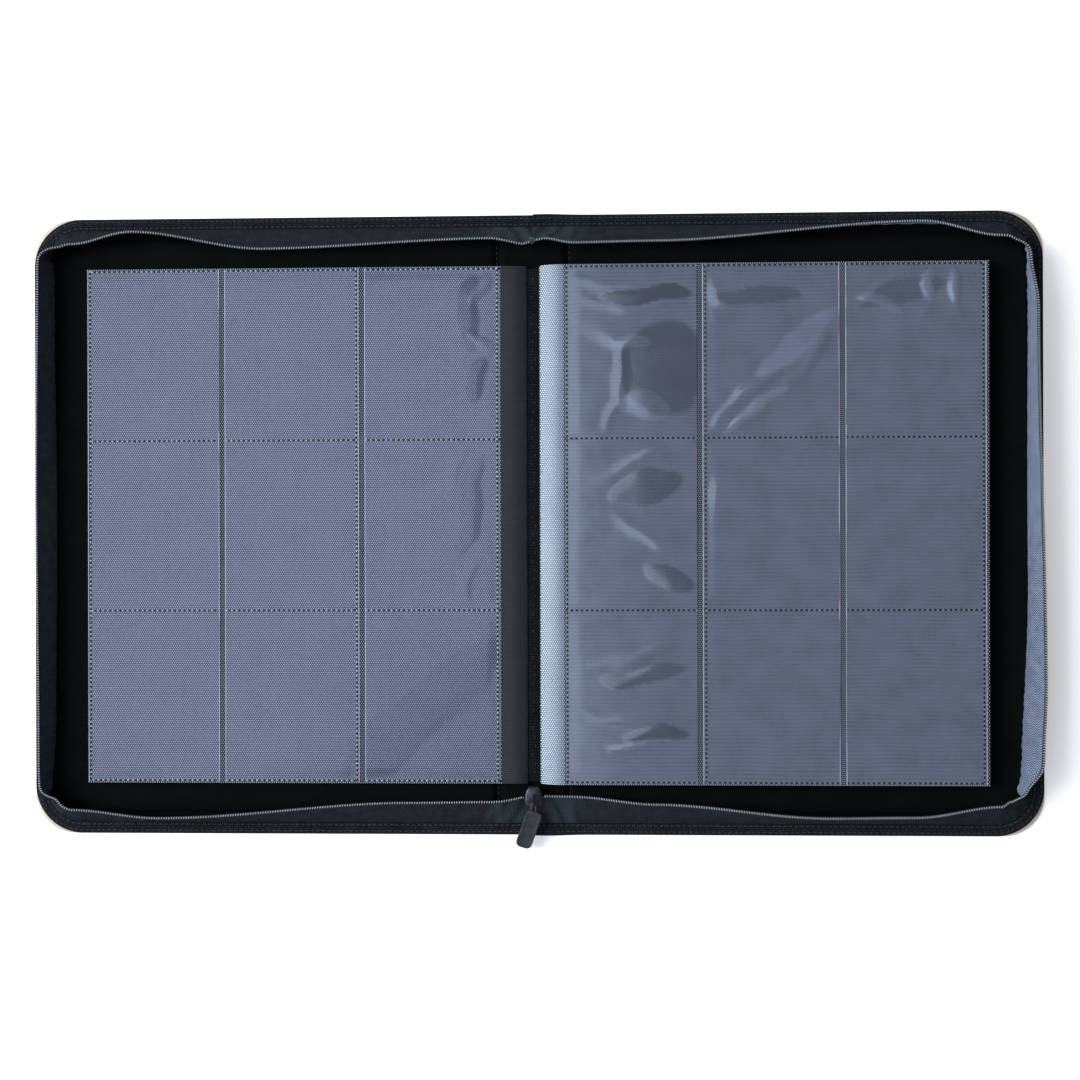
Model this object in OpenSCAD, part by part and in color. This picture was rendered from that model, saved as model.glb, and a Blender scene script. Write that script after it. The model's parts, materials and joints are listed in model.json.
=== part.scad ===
// Zip-round trading card binder for nine-pocket side-loading leaves, lying open on its back.
// Frame: +X towards the right-hand leaf, +Y towards the top of the leaf, +Z up off the table.
// Origin: middle of the spine's underside. Millimetres.
// The right half is the back cover, the left half the front cover. Closing the binder turns the
// spine 90 degrees about x = spine_w / 2, and the front cover 90 degrees more about the other
// fold line, so whatever stands h above a fold line stays at least h away from it.

/* [Cover] */
// Distance from the spine's middle to a cover's outer edge
cover_reach = 272; // [270:1:276]
// Height of covers and spine, along the fold lines
cover_h = 334; // [332:1:340]
// Radius of the covers' outer corners
corner_r = 22; // [18:1:26]
// Width of the spine between its two fold lines
spine_w = 38; // [38:1:40]
// Height of both fold lines above the underside
fold_z = 1.5; // [1.4:0.1:1.6]

/* [Layers of a cover] */
// Thickness of the outer leatherette skin
skin_t = 1.2; // [0.8:0.1:1.2]
// Thickness of the stiffening board
board_t = 2; // [1.6:0.1:2]
// Thickness of the foam on the board
foam_t = 0.8; // [0.5:0.1:0.8]
// Thickness of the lining cloth
lining_t = 0.5; // [0.3:0.1:0.5]
// Width of the rim where the zip tape is sewn to the skin
rim_w = 6.4; // [6:0.1:7]

/* [Zip] */
// Width of the zip tape from the rim to the middle of the coil
tape_w = 16.6; // [16.4:0.1:16.6]
// Thickness of the zip tape
tape_t = 0.7; // [0.5:0.1:0.8]
// Outer diameter of the nylon coil
coil_d = 2.2; // [2:0.1:2.3]

/* [Leaves] */
// Width of the pocket field of one leaf
leaf_w = 224; // [222:1:224]
// Height of a leaf
leaf_h = 277; // [274:1:278]
// Distance from the spine's middle to the pocket field
leaf_x = 17; // [17:0.5:18]
// Thickness of a leaf with empty pockets
leaf_t = 0.6; // [0.5:0.1:0.6]
// Distance from one leaf to the next
leaf_pitch = 0.65; // [0.65:0.01:0.7]
// Leaves lying under the top one on the left
left_count = 5; // [3:1:5]
// Leaves lying under the top one on the right
right_count = 13; // [10:1:13]
// Width of a card pocket's column
pocket_w = 74; // [73:0.5:74]
// Height of a card pocket's row
pocket_h = 91.5; // [91:0.5:92]

/* [Slider] */
// Distance from the spine's middle to the middle of the slider, downwards
slider_y = 145; // [145:0.5:146]
// Length of the rubber pull tab
tab_l = 22; // [20:1:24]
// Width of the rubber pull tab
tab_w = 8.6; // [8:0.2:9]
// Angle that the tab leans towards the left, in degrees
tab_lean = 19; // [0:1:20]
// Slope of the wire link down to the rim, in degrees
link_drop = 25; // [20:1:28]
// Slope of the tab down over the rim, in degrees
tab_drop = 16; // [10:1:18]

/* [Hidden] */

RIGHT = 1;
LEFT = -1;

// Colours
beige = [0.78, 0.72, 0.63];
black = [0.06, 0.065, 0.07];
soft_black = [0.11, 0.12, 0.13];
board_grey = [0.45, 0.43, 0.4];
backing_blue = [0.22, 0.25, 0.32];
film_blue = [0.42, 0.46, 0.56];
gunmetal = [0.2, 0.23, 0.26];
brass_red = [0.5, 0.3, 0.22];

// Heights of the layers
board_z = skin_t;
foam_z = board_z + board_t;
lining_z = foam_z + foam_t;
inside_z = lining_z + lining_t;
fold_x = spine_w / 2;
// Gap on each side of a fold line in the outer skin
skin_gap = 0.2;
// Distance of the stiff layers from a fold line, more than their height above it
stiff_gap = 3.5;
// Width of the edge that the black rim leaves bare on the skin
bare_edge = 0.7;
// Height of the rim band on the skin
rim_t = 1.2;
rim_top = skin_t + rim_t;
// Radius of the rim band's outer corners, larger than the skin's so that skin shows there
rim_outer_r = corner_r + 4;
// Half height of the field inside the rim
field_h = cover_h / 2 - rim_w;
field_x = cover_reach - rim_w;
// Clearance between the rim and the padded panel inside it, at the outer side and at the ends,
// where the tape leans over the panel
panel_gap_x = 2.2;
panel_gap_y = 6;
panel_x = field_x - panel_gap_x;
panel_y = field_h - panel_gap_y;
panel_r = corner_r - 6;

// ---- Zip tape route --------------------------------------------------------------------
// A station u runs round a cover from the spine's top end to its bottom end: 0 to 1 along the
// top side, 1 to 2 round the top corner, 2 to 3 down the outer side, 3 to 4 round the bottom
// corner and 4 to 5 back along the bottom side.
base_r = 18;
base_y = field_h - 0.4;
base_x = field_x - 0.8;
base_z = rim_top + 0.15;
// Distance from the spine's middle at which the stations start and end
start_x = fold_x + 1.6;
side_run = base_x - base_r - start_x;

function corner_turn(u) = u <= 1 ? 0 : u < 2 ? u - 1 : u <= 3 ? 1 : u < 4 ? u - 2 : 2;
// Outward direction of the rim at a station
function outward(u) = let (a = 90 - 90 * corner_turn(u)) [cos(a), sin(a)];
// Point where the tape leaves the rim
function rim_point(u) =
    u <= 1 ? [start_x + side_run * u, base_y]
    : u < 2 ? [base_x - base_r, base_y - base_r] + base_r * outward(u)
    : u <= 3 ? [base_x, (base_y - base_r) * (5 - 2 * u)]
    : u < 4 ? [base_x - base_r, base_r - base_y] + base_r * outward(u)
    : [start_x + side_run * (5 - u), -base_y];

// How far the coil lies inside the rim, as [station, distance]; a negative one lies outside
right_lean = [[0, 10.5], [0.2, 10], [0.82, 1.5], [1, 9], [1.5, 8], [2, 3], [2.1, -1],
    [2.8, -4.5], [2.95, -3], [3, 6], [3.2, 10], [3.6, 12], [4, 11], [4.2, 5.5], [4.4, 5],
    [4.8, 11.5], [5, 15]];
left_lean = [[0, 8], [0.55, 12], [0.86, 3], [1, 9], [1.4, 8.5], [2, 0], [2.4, -1],
    [2.95, 0], [3.25, 8], [4, 8], [4.2, 4], [4.8, 12], [5, 12.5]];

// Smooth value between the two table rows on either side of u
function between(table, u) =
    let (k = max([for (i = [0:len(table) - 2]) table[i][0] <= u ? i : 0]),
         t = (u - table[k][0]) / (table[k + 1][0] - table[k][0]))
    table[k][1] + (table[k + 1][1] - table[k][1]) * t * t * (3 - 2 * t);

// Height of the tape's free edge above its foot for a given lean
function rise(lean) = sqrt(tape_w * tape_w - lean * lean);
// Outward point at a share f of the tape's width, 0 at the rim and 1 at the coil's middle
function tape_point(table, u, f) =
    let (lean = between(table, u), p = rim_point(u) - outward(u) * lean * f)
    [p[0], p[1], base_z + rise(lean) * f];

// Direction square to the tape at a station, on its outer side
function tape_normal(table, u) =
    let (lean = between(table, u), o = outward(u) * rise(lean) / tape_w)
    [o[0], o[1], lean / tape_w];

// Stations of the rings, closer together round the corners
stations = concat([for (i = [0:19]) i / 20], [for (i = [0:9]) 1 + i / 10],
    [for (i = [0:14]) 2 + i / 15], [for (i = [0:9]) 3 + i / 10], [for (i = [0:20]) 4 + i / 20]);

// How far a point at height z has to be from the spine's middle to clear the folding spine
function clear_x(z) = fold_x + (z - fold_z) + 0.6;
// Share of the way from the cover's outer side back to the end of the route
function nearness(u) = u < 1 ? 1 - u : u > 4 ? u - 4 : 0;
// Slants the route's ends, so that a higher point ends further out
function slanted(p, u) = [p[0] + (clear_x(p[2]) - start_x) * nearness(u), p[1], p[2]];

// ---- Shapes used more than once --------------------------------------------------------
// Two triangles for four corners, cut from the first to the third or from the second to the fourth
function halved(q, first) = first ? [[q[0], q[1], q[2]], [q[0], q[2], q[3]]]
    : [[q[0], q[1], q[3]], [q[1], q[2], q[3]]];

// Solid through a list of rings with the same number of points, closed at both ends. The two
// halves of a ring are cut the opposite way, so that both faces of a thin twisted wall stay parallel
module loft(rings) {
    n = len(rings[0]);
    last = len(rings) - 1;
    polyhedron(
        points = [for (ring = rings) each ring],
        faces = concat(
            [[for (i = [0:n - 1]) i]],
            [for (k = [0:last - 1], i = [0:n - 1]) each halved(
                [k * n + i, (k + 1) * n + i, (k + 1) * n + (i + 1) % n, k * n + (i + 1) % n],
                i < n / 2)],
            [[for (i = [n - 1:-1:0]) last * n + i]]),
        convexity = 6);
}

// Mirrors a right-hand shape to the given side
module on_side(side) {
    if (side == RIGHT) children();
    else mirror([1, 0, 0]) children();
}

// Outline from x0 out to x1, y1 to each side, with its two outer corners rounded
module cover_outline(x0, x1, y1, r) {
    union() {
        translate([x0, -y1]) square([x1 - r - x0, 2 * y1]);
        translate([x0, r - y1]) square([x1 - x0, 2 * (y1 - r)]);
        for (s = [-1, 1]) translate([x1 - r, s * (y1 - r)]) circle(r, $fn = 64);
    }
}

// Padded panel layer inside the rim
module panel_layer(z, t) {
    translate([0, 0, z]) linear_extrude(t) cover_outline(fold_x + stiff_gap, panel_x, panel_y, panel_r);
}

// ---- Covers ----------------------------------------------------------------------------
module cover_skin(side) {
    color(beige) on_side(side)
        linear_extrude(skin_t) cover_outline(fold_x + skin_gap, cover_reach, cover_h / 2, corner_r);
}

module cover_board(side) {
    color(board_grey) on_side(side) panel_layer(board_z, board_t);
}

module cover_foam(side) {
    color(soft_black) on_side(side) panel_layer(foam_z, foam_t);
}

module cover_lining(side) {
    color(black) on_side(side) panel_layer(lining_z, lining_t);
}

// Band that covers the seam between skin and zip tape on the three open sides
module rim_binding(side) {
    color(soft_black) on_side(side)
        translate([0, 0, skin_t]) linear_extrude(rim_t) difference() {
            cover_outline(fold_x + 1.4, cover_reach - bare_edge, cover_h / 2 - bare_edge, rim_outer_r);
            cover_outline(fold_x - 1, field_x + 0.2, field_h + 0.2, base_r + 2);
        }
}

// Zip tape standing on the rim, with its free edge where the coil is
module zip_tape(side, table) {
    // The tape ends below the coil
    top_f = 1 - (coil_d / 2 + 0.1) / tape_w;
    color(soft_black) on_side(side) loft([for (u = stations)
        let (foot = tape_point(table, u, 0), top = tape_point(table, u, top_f),
             o = tape_normal(table, u) * tape_t / 2)
        [slanted(foot - [o[0], o[1], 0], u), slanted(foot + [o[0], o[1], 0], u),
         slanted(top + o, u), slanted(top - o, u)]]);
}

// Coil along the free edge of the tape, as the plain tube that its turns fill
module zip_coil(side, table) {
    r = coil_d / 2;
    color(gunmetal) on_side(side) loft([for (u = stations)
        let (c = tape_point(table, u, 1), o = outward(u))
        [for (i = [0:7]) let (a = -45 * i)
            slanted([c[0] + o[0] * r * cos(a), c[1] + o[1] * r * cos(a), c[2] + r * sin(a)], u)]]);
}

module back_cover_skin() { cover_skin(RIGHT); }
module back_cover_board() { cover_board(RIGHT); }
module back_cover_foam() { cover_foam(RIGHT); }
module back_cover_lining() { cover_lining(RIGHT); }
module back_rim_binding() { rim_binding(RIGHT); }
module back_zip_tape() { zip_tape(RIGHT, right_lean); }
module back_zip_coil() { zip_coil(RIGHT, right_lean); }
module front_cover_skin() { cover_skin(LEFT); }
module front_cover_board() { cover_board(LEFT); }
module front_cover_foam() { cover_foam(LEFT); }
module front_cover_lining() { cover_lining(LEFT); }
module front_rim_binding() { rim_binding(LEFT); }
module front_zip_tape() { zip_tape(LEFT, left_lean); }
module front_zip_coil() { zip_coil(LEFT, left_lean); }

// ---- Spine -----------------------------------------------------------------------------
slider_w = 9;
slider_l = 9.6;

// Flat layer of the spine, centred, w wide and h high
module spine_layer(w, h, z, t) {
    translate([-w / 2, -h / 2, z]) cube([w, h, t]);
}

spine_panel_w = spine_w - 2 * stiff_gap;
spine_panel_h = 2 * panel_y;

module spine_skin() { color(beige) spine_layer(spine_w - 2 * skin_gap, cover_h, 0, skin_t); }
module spine_board() { color(board_grey) spine_layer(spine_panel_w, spine_panel_h, board_z, board_t); }
module spine_foam() { color(soft_black) spine_layer(spine_panel_w, spine_panel_h, foam_z, foam_t); }
module spine_lining() { color(black) spine_layer(spine_panel_w, spine_panel_h, lining_z, lining_t); }

// Comb-edged strip that the inner edges of all leaves are sewn into
strip_x0 = -6;
strip_x1 = 9;
strip_h = 3.2;
comb_pitch = 8;
comb_depth = 1;

module page_binding_strip() {
    w = strip_x1 - strip_x0;
    color(black) difference() {
        translate([strip_x0, -leaf_h / 2, inside_z + 0.05]) cube([w, leaf_h, strip_h]);
        for (y = [-leaf_h / 2 + comb_pitch / 2:comb_pitch:leaf_h / 2])
            translate([strip_x0 - 1, y - comb_pitch / 4, inside_z + 0.05 + strip_h - comb_depth])
                cube([w + 2, comb_pitch / 2, comb_depth + 1]);
    }
}

// Stitches that hold the strip, one on each tooth of the comb
module page_binding_thread() {
    top = inside_z + 0.05 + strip_h;
    color([0.7, 0.62, 0.42])
        for (y = [-leaf_h / 2 + comb_pitch:comb_pitch:leaf_h / 2 - comb_pitch])
            translate([(strip_x0 + strip_x1) / 2 - 0.3, y - 1.3, top + 0.02]) cube([0.6, 2.6, 0.4]);
}

// Half width at height z that the spine's zip tape may have, so that it clears the covers
function gusset_x(z) = fold_x - (z - fold_z) - 0.6;

// Tape across one end of the spine; lean is how far its free edge lies inside the rim
module spine_tape(end, lean, top_f) {
    foot_y = base_y;
    top_y = base_y - lean * top_f;
    top_z = base_z + rise(lean) * top_f;
    half = tape_t / 2;
    color(soft_black) loft([for (y = [half, -half])
        [[-gusset_x(base_z), end * (foot_y + y), base_z], [gusset_x(base_z), end * (foot_y + y), base_z],
         [gusset_x(top_z), end * (top_y + y), top_z], [-gusset_x(top_z), end * (top_y + y), top_z]]]);
}

top_lean = 9.5;
bottom_lean = base_y - slider_y;
// Heights of the chain's middle across the spine
chain_top_z = base_z + rise(top_lean);
chain_z = base_z + rise(bottom_lean);
module zip_tape_top_end() { spine_tape(1, top_lean, 0.87); }
// The bottom tape stops short of the slider
module zip_tape_bottom_end() { spine_tape(-1, bottom_lean, 0.5); }

// Coil across the top of the spine, where the chain ends
spine_coil_r = coil_d / 2 - 0.1;
module zip_coil_top_end() {
    half = gusset_x(chain_top_z + spine_coil_r);
    color(gunmetal) translate([-half, base_y - top_lean, chain_top_z]) rotate([0, 90, 0])
        cylinder(h = 2 * half, r = spine_coil_r, $fn = 24);
}

// Ends of the two halves of the chain, on either side of the slider
module zip_coil_bottom_ends() {
    x0 = slider_w / 2 + 0.3;
    x1 = gusset_x(chain_z + spine_coil_r);
    color(gunmetal) for (x = [x0, -x1]) translate([x, -slider_y, chain_z]) rotate([0, 90, 0])
        cylinder(h = x1 - x0, r = spine_coil_r, $fn = 24);
}

// Folded metal stop round the chain at the top
stop_w = 2.2;
stop_t = 0.7;
module zip_top_stop() {
    color(gunmetal) translate([-stop_w / 2, base_y - top_lean, chain_top_z]) rotate([0, 90, 0])
        difference() {
            cylinder(h = stop_w, r = spine_coil_r + stop_t, $fn = 32);
            translate([0, 0, -1]) cylinder(h = stop_w + 2, r = spine_coil_r, $fn = 32);
        }
}

// Metal staple at the bottom of the spine, under the link
staple = [4, 1.5, 1.6];
module zip_bottom_stop() {
    color(gunmetal) translate([-staple[0] / 2, -slider_y - slider_l / 2 - 0.6 - staple[1], inside_z + 0.1])
        cube(staple);
}

// ---- Leaves ----------------------------------------------------------------------------
stack_z = inside_z + 0.5;
// The top leaf on each side lies a little above the stack
top_gap = 0.3;
function leaf_z(i) = stack_z + leaf_pitch * (i - 1);
function top_leaf_z(count) = leaf_z(count) + leaf_t + top_gap;
// Films and backing of an opened leaf
film_t = 0.12;
backing_t = 0.3;
ply_gap = (leaf_t - backing_t - 2 * film_t) / 2;
// Width of a weld line, and of the bare strip between the open sides of two columns
weld_w = 1.2;
open_strip = 3.3;
// Distance of the first column from the field's inner edge, and of the rows from its ends
edge_x = 0.5;
edge_y = (leaf_h - 3 * pocket_h) / 2;

// One leaf in the stacks, its pockets closed flat
module plain_leaf(side, i) {
    color(backing_blue) on_side(side)
        translate([leaf_x, -leaf_h / 2, leaf_z(i)]) cube([leaf_w, leaf_h, leaf_t]);
}

// Black embossed sheet in the middle of a top leaf
module leaf_backing(side, z) {
    color(backing_blue) on_side(side)
        translate([leaf_x, -leaf_h / 2, z + film_t + ply_gap]) cube([leaf_w, leaf_h, backing_t]);
}

// Nine pocket fronts of clear film, each welded on three sides. The outermost column opens
// inwards and the other two open outwards, so bare strips lie between the columns.
module pocket_films(side, z) {
    color(film_blue) on_side(side) for (column = [0:2], row = [0:2])
        translate([leaf_x + edge_x + column * pocket_w,
                   -leaf_h / 2 + edge_y + row * pocket_h + weld_w / 2, z])
            cube([pocket_w - (column < 2 ? open_strip : 0), pocket_h - weld_w, film_t]);
}

left_top_z = top_leaf_z(left_count);
right_top_z = top_leaf_z(right_count);
module left_top_leaf_backing() { leaf_backing(LEFT, left_top_z); }
module left_top_leaf_front_film() { pocket_films(LEFT, left_top_z + leaf_t - film_t); }
module left_top_leaf_back_film() { pocket_films(LEFT, left_top_z); }
module right_top_leaf_backing() { leaf_backing(RIGHT, right_top_z); }
module right_top_leaf_front_film() { pocket_films(RIGHT, right_top_z + leaf_t - film_t); }
module right_top_leaf_back_film() { pocket_films(RIGHT, right_top_z); }

// ---- Slider and pull -------------------------------------------------------------------
plate_t = 1.4;
plate_gap = 2.6;
slider_top = chain_z + plate_gap / 2 + plate_t;
// Height of the pull's pivot, and its distance towards the rim from the slider's middle
pivot_z = slider_top + 1.8;
pivot_y = -slider_y - 4;
wire_r = 0.55;
pin_r = 0.6;

// Rounded plate of the slider, pointed towards the chain's closed end
module slider_plate() {
    hull() {
        translate([0, slider_l / 2 - 2]) circle(2, $fn = 32);
        for (s = [-1, 1]) translate([s * (slider_w / 2 - 1.5), 1.5 - slider_l / 2]) circle(1.5, $fn = 32);
    }
}

// Two plates joined by the wedge that parts the chain
module slider_body() {
    color(gunmetal) translate([0, -slider_y, 0]) union() {
        translate([0, 0, chain_z - plate_gap / 2 - plate_t]) linear_extrude(plate_t) slider_plate();
        translate([0, 0, chain_z + plate_gap / 2]) linear_extrude(plate_t) slider_plate();
        translate([0, 1.6, chain_z - plate_gap / 2 - 0.1]) cylinder(h = plate_gap + 0.2, r = 1.5, $fn = 32);
    }
}

// Arch on the top plate, with the pin that the wire link turns on
module slider_bridge() {
    arch_w = 4.4;
    arch_l = 4.6;
    cheek_t = 0.9;
    color(gunmetal) union() {
        for (s = [-1, 1])
            translate([s * (arch_w / 2 - cheek_t / 2) - cheek_t / 2, pivot_y - pin_r, slider_top + 0.01])
                cube([cheek_t, arch_l, pivot_z - slider_top + 1.2]);
        translate([-arch_w / 2, pivot_y, pivot_z]) rotate([0, 90, 0])
            cylinder(h = arch_w, r = pin_r, $fn = 24);
    }
}

// Closed wire link between the bridge and the tab, sloping down from its pivot
link_l = 7;
link_w = 2.2;
eye_r = pin_r + 0.05;
tab_pin_r = 0.4;
module pull_link() {
    color(brass_red) translate([0, pivot_y, pivot_z]) rotate([link_drop, 0, 0]) difference() {
        hull() {
            translate([-link_w / 2, 0, 0]) rotate([0, 90, 0]) cylinder(h = link_w, r = 1.15, $fn = 32);
            translate([-link_w / 2, -link_l, 0]) rotate([0, 90, 0]) cylinder(h = link_w, r = 0.9, $fn = 32);
        }
        translate([-link_w, 0, 0]) rotate([0, 90, 0]) cylinder(h = 2 * link_w, r = eye_r, $fn = 32);
        translate([-link_w, -link_l, 0]) rotate([0, 90, 0])
            cylinder(h = 2 * link_w, r = tab_pin_r + 0.05, $fn = 32);
    }
}

// Rubber tab with a slot for the link and a pin through it, sloping down over the rim
tab_t = 2.6;
tab_r = 2.8;
slot_w = link_w + 2.2;
slot_end = 2.4;
tab_pin_y = pivot_y - link_l * cos(link_drop);
tab_pin_z = pivot_z - link_l * sin(link_drop);
module pull_tab() {
    color(soft_black) translate([0, tab_pin_y, tab_pin_z]) rotate([tab_drop, 0, 0]) union() {
        rotate([0, 0, -tab_lean]) difference() {
            translate([0, 0, -tab_t / 2]) linear_extrude(tab_t) hull() {
                for (s = [-1, 1], y = [0, tab_l - 2 * tab_r])
                    translate([s * (tab_w / 2 - tab_r), -y]) circle(tab_r, $fn = 32);
            }
            translate([-slot_w / 2, -slot_end, -tab_t]) cube([slot_w, 3 * slot_end, 2 * tab_t]);
        }
        translate([-slot_w / 2 - 0.7, 0, 0]) rotate([0, 90, 0])
            cylinder(h = slot_w + 1.4, r = tab_pin_r, $fn = 24);
    }
}

// ---- Drawing ---------------------------------------------------------------------------
back_cover_skin();
back_cover_board();
back_cover_foam();
back_cover_lining();
back_rim_binding();
back_zip_tape();
back_zip_coil();
spine_skin();
spine_board();
spine_foam();
spine_lining();
page_binding_strip();
page_binding_thread();
zip_tape_top_end();
zip_tape_bottom_end();
zip_coil_top_end();
zip_coil_bottom_ends();
zip_top_stop();
zip_bottom_stop();
front_cover_skin();
front_cover_board();
front_cover_foam();
front_cover_lining();
front_rim_binding();
front_zip_tape();
front_zip_coil();
for (i = [1:left_count])
    plain_leaf(LEFT, i);
left_top_leaf_backing();
left_top_leaf_front_film();
left_top_leaf_back_film();
for (i = [1:right_count])
    plain_leaf(RIGHT, i);
right_top_leaf_backing();
right_top_leaf_front_film();
right_top_leaf_back_film();
slider_body();
slider_bridge();
pull_link();
pull_tab();
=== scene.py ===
"""Zip-round trading card binder, lying open on a pale table.

Lengths are metres in the CAD frame; MM turns millimetres into metres. Places come from the CAD
nodes' boxes and the joints. Every made piece carries a UV map named Cloth, in millimetres, which
its material's pattern is laid out on.
"""
import json
import math

import bpy
import numpy as np
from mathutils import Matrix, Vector


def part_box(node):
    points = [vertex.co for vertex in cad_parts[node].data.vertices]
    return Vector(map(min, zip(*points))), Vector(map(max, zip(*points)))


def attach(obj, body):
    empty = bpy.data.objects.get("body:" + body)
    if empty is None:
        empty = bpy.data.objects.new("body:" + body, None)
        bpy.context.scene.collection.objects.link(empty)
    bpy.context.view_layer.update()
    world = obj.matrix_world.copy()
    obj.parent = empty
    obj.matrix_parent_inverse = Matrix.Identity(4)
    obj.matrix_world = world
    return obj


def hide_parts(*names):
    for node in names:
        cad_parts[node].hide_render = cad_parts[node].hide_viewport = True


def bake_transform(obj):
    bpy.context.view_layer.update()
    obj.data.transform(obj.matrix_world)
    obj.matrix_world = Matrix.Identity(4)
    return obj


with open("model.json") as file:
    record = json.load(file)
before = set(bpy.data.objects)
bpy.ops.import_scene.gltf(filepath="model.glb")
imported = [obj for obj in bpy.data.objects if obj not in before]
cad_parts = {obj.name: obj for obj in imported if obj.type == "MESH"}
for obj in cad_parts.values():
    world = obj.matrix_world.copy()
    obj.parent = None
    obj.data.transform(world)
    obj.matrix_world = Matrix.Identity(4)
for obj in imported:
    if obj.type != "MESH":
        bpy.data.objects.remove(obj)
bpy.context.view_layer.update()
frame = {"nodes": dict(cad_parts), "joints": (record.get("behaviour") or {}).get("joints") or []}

MM = 0.001
LEFT, RIGHT = -1, 1
COVER = {LEFT: "front_cover", RIGHT: "back_cover"}
TOP_LEAF = {LEFT: "left_top_leaf", RIGHT: "right_top_leaf"}
SIDE_NAME = {LEFT: "left", RIGHT: "right"}
COVER_NAME = {LEFT: "front", RIGHT: "back"}
rng = np.random.default_rng(7)

joints = {j["name"]: j for j in frame["joints"]}
fold_x = joints["spine_fold"]["pos_m"][0]
skin_low, skin_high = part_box("back_cover_skin")
reach, half_h, skin_t = skin_high.x, skin_high.y, skin_high.z
panel_low, panel_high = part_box("back_cover_lining")
rim_low, rim_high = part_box("back_rim_binding")
leaf_low, leaf_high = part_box("right_top_leaf_backing")


# ---- Materials --------------------------------------------------------------------------
class Look:
    """A Principled material and short ways to build the nodes of its pattern."""

    def __init__(self, name, color, roughness=0.5, **constants):
        self.material = bpy.data.materials.new(name)
        self.material.use_nodes = True
        self.tree = self.material.node_tree
        self.bsdf = self.tree.nodes["Principled BSDF"]
        self.bsdf.inputs["Base Color"].default_value = (*color, 1)
        self.bsdf.inputs["Roughness"].default_value = roughness
        for socket, value in constants.items():
            self.bsdf.inputs[socket.replace("_", " ")].default_value = value
        self.height = None

    def add(self, kind, **settings):
        node = self.tree.nodes.new(kind)
        for key, value in settings.items():
            setattr(node, key, value)
        return node

    def put(self, value, socket):
        """Links an output, or sets a number, on an input socket."""
        if isinstance(value, bpy.types.NodeSocket):
            self.tree.links.new(value, socket)
        else:
            socket.default_value = value

    def math(self, operation, a, b=0.0):
        node = self.add("ShaderNodeMath", operation=operation)
        self.put(a, node.inputs[0])
        self.put(b, node.inputs[1])
        return node.outputs[0]

    def times(self, a, b):
        return self.math("MULTIPLY", a, b)

    def plus(self, a, b):
        return self.math("ADD", a, b)

    def wave(self, value, pitch):
        """Cosine of the given pitch, between 0 and 1."""
        turns = self.times(value, 2 * math.pi / pitch)
        return self.times(self.plus(self.math("COSINE", turns), 1.0), 0.5)

    def uv(self):
        """The two coordinates of the Cloth map, in millimetres."""
        node = self.add("ShaderNodeUVMap", uv_map="Cloth")
        split = self.add("ShaderNodeSeparateXYZ")
        self.tree.links.new(node.outputs[0], split.inputs[0])
        return split.outputs[0], split.outputs[1], node.outputs[0]

    def place(self):
        """Object coordinates in millimetres, for CAD nodes."""
        node = self.add("ShaderNodeTexCoord")
        scale = self.add("ShaderNodeVectorMath", operation="SCALE")
        scale.inputs["Scale"].default_value = 1 / MM
        self.tree.links.new(node.outputs["Object"], scale.inputs[0])
        return scale.outputs[0]

    def painted(self, attribute):
        """Value that the mesh's points carry under that name."""
        return self.add("ShaderNodeAttribute", attribute_name=attribute).outputs["Fac"]

    def noise(self, vector, pitch, detail=3.0, roughness=0.5):
        """Noise between 0 and 1 whose features are about pitch millimetres apart."""
        node = self.add("ShaderNodeTexNoise")
        self.tree.links.new(vector, node.inputs["Vector"])
        node.inputs["Scale"].default_value = 1 / pitch
        node.inputs["Detail"].default_value = detail
        node.inputs["Roughness"].default_value = roughness
        return node.outputs[0]

    def cells(self, vector, pitch, feature="F1"):
        node = self.add("ShaderNodeTexVoronoi", feature=feature)
        self.tree.links.new(vector, node.inputs["Vector"])
        node.inputs["Scale"].default_value = 1 / pitch
        return node.outputs["Distance"]

    def ramp(self, value, low, high, start=0.0, end=1.0):
        node = self.add("ShaderNodeMapRange")
        self.put(value, node.inputs[0])
        for index, number in enumerate((start, end, low, high)):
            node.inputs[index + 1].default_value = number
        return node.outputs[0]

    def color(self, value, dark, light):
        """Base colour that runs from dark to light as value goes from 0 to 1."""
        node = self.add("ShaderNodeMix", data_type="RGBA")
        self.put(value, node.inputs["Factor"])
        inputs = [s for s in node.inputs if s.type == "RGBA"]
        inputs[0].default_value = (*dark, 1)
        inputs[1].default_value = (*light, 1)
        result = [s for s in node.outputs if s.type == "RGBA"][0]
        self.tree.links.new(result, self.bsdf.inputs["Base Color"])
        return self

    def rough(self, value):
        self.tree.links.new(value, self.bsdf.inputs["Roughness"])
        return self

    def bump(self, height, depth_mm, strength=1.0):
        """Raises the surface by depth_mm where height is 1."""
        node = self.add("ShaderNodeBump")
        node.inputs["Strength"].default_value = strength
        node.inputs["Distance"].default_value = depth_mm * MM
        self.tree.links.new(height, node.inputs["Height"])
        if self.height is not None:
            self.tree.links.new(self.height, node.inputs["Normal"])
        self.height = node.outputs[0]
        self.tree.links.new(self.height, self.bsdf.inputs["Normal"])
        return self


def leatherette():
    """Beige pebbled leatherette."""
    look = Look("Leatherette", (0.6, 0.51, 0.4), 0.5)
    _, _, vector = look.uv()
    pebble = look.cells(vector, 1.1, "SMOOTH_F1")
    soft = look.noise(vector, 22, 4)
    look.color(look.times(soft, 1.0), (0.52, 0.43, 0.32), (0.68, 0.59, 0.47))
    look.rough(look.ramp(pebble, 0.62, 0.42))
    look.bump(look.ramp(pebble, 1.0, 0.0), 0.14)
    return look.bump(look.noise(vector, 0.35, 2), 0.03).material


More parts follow.
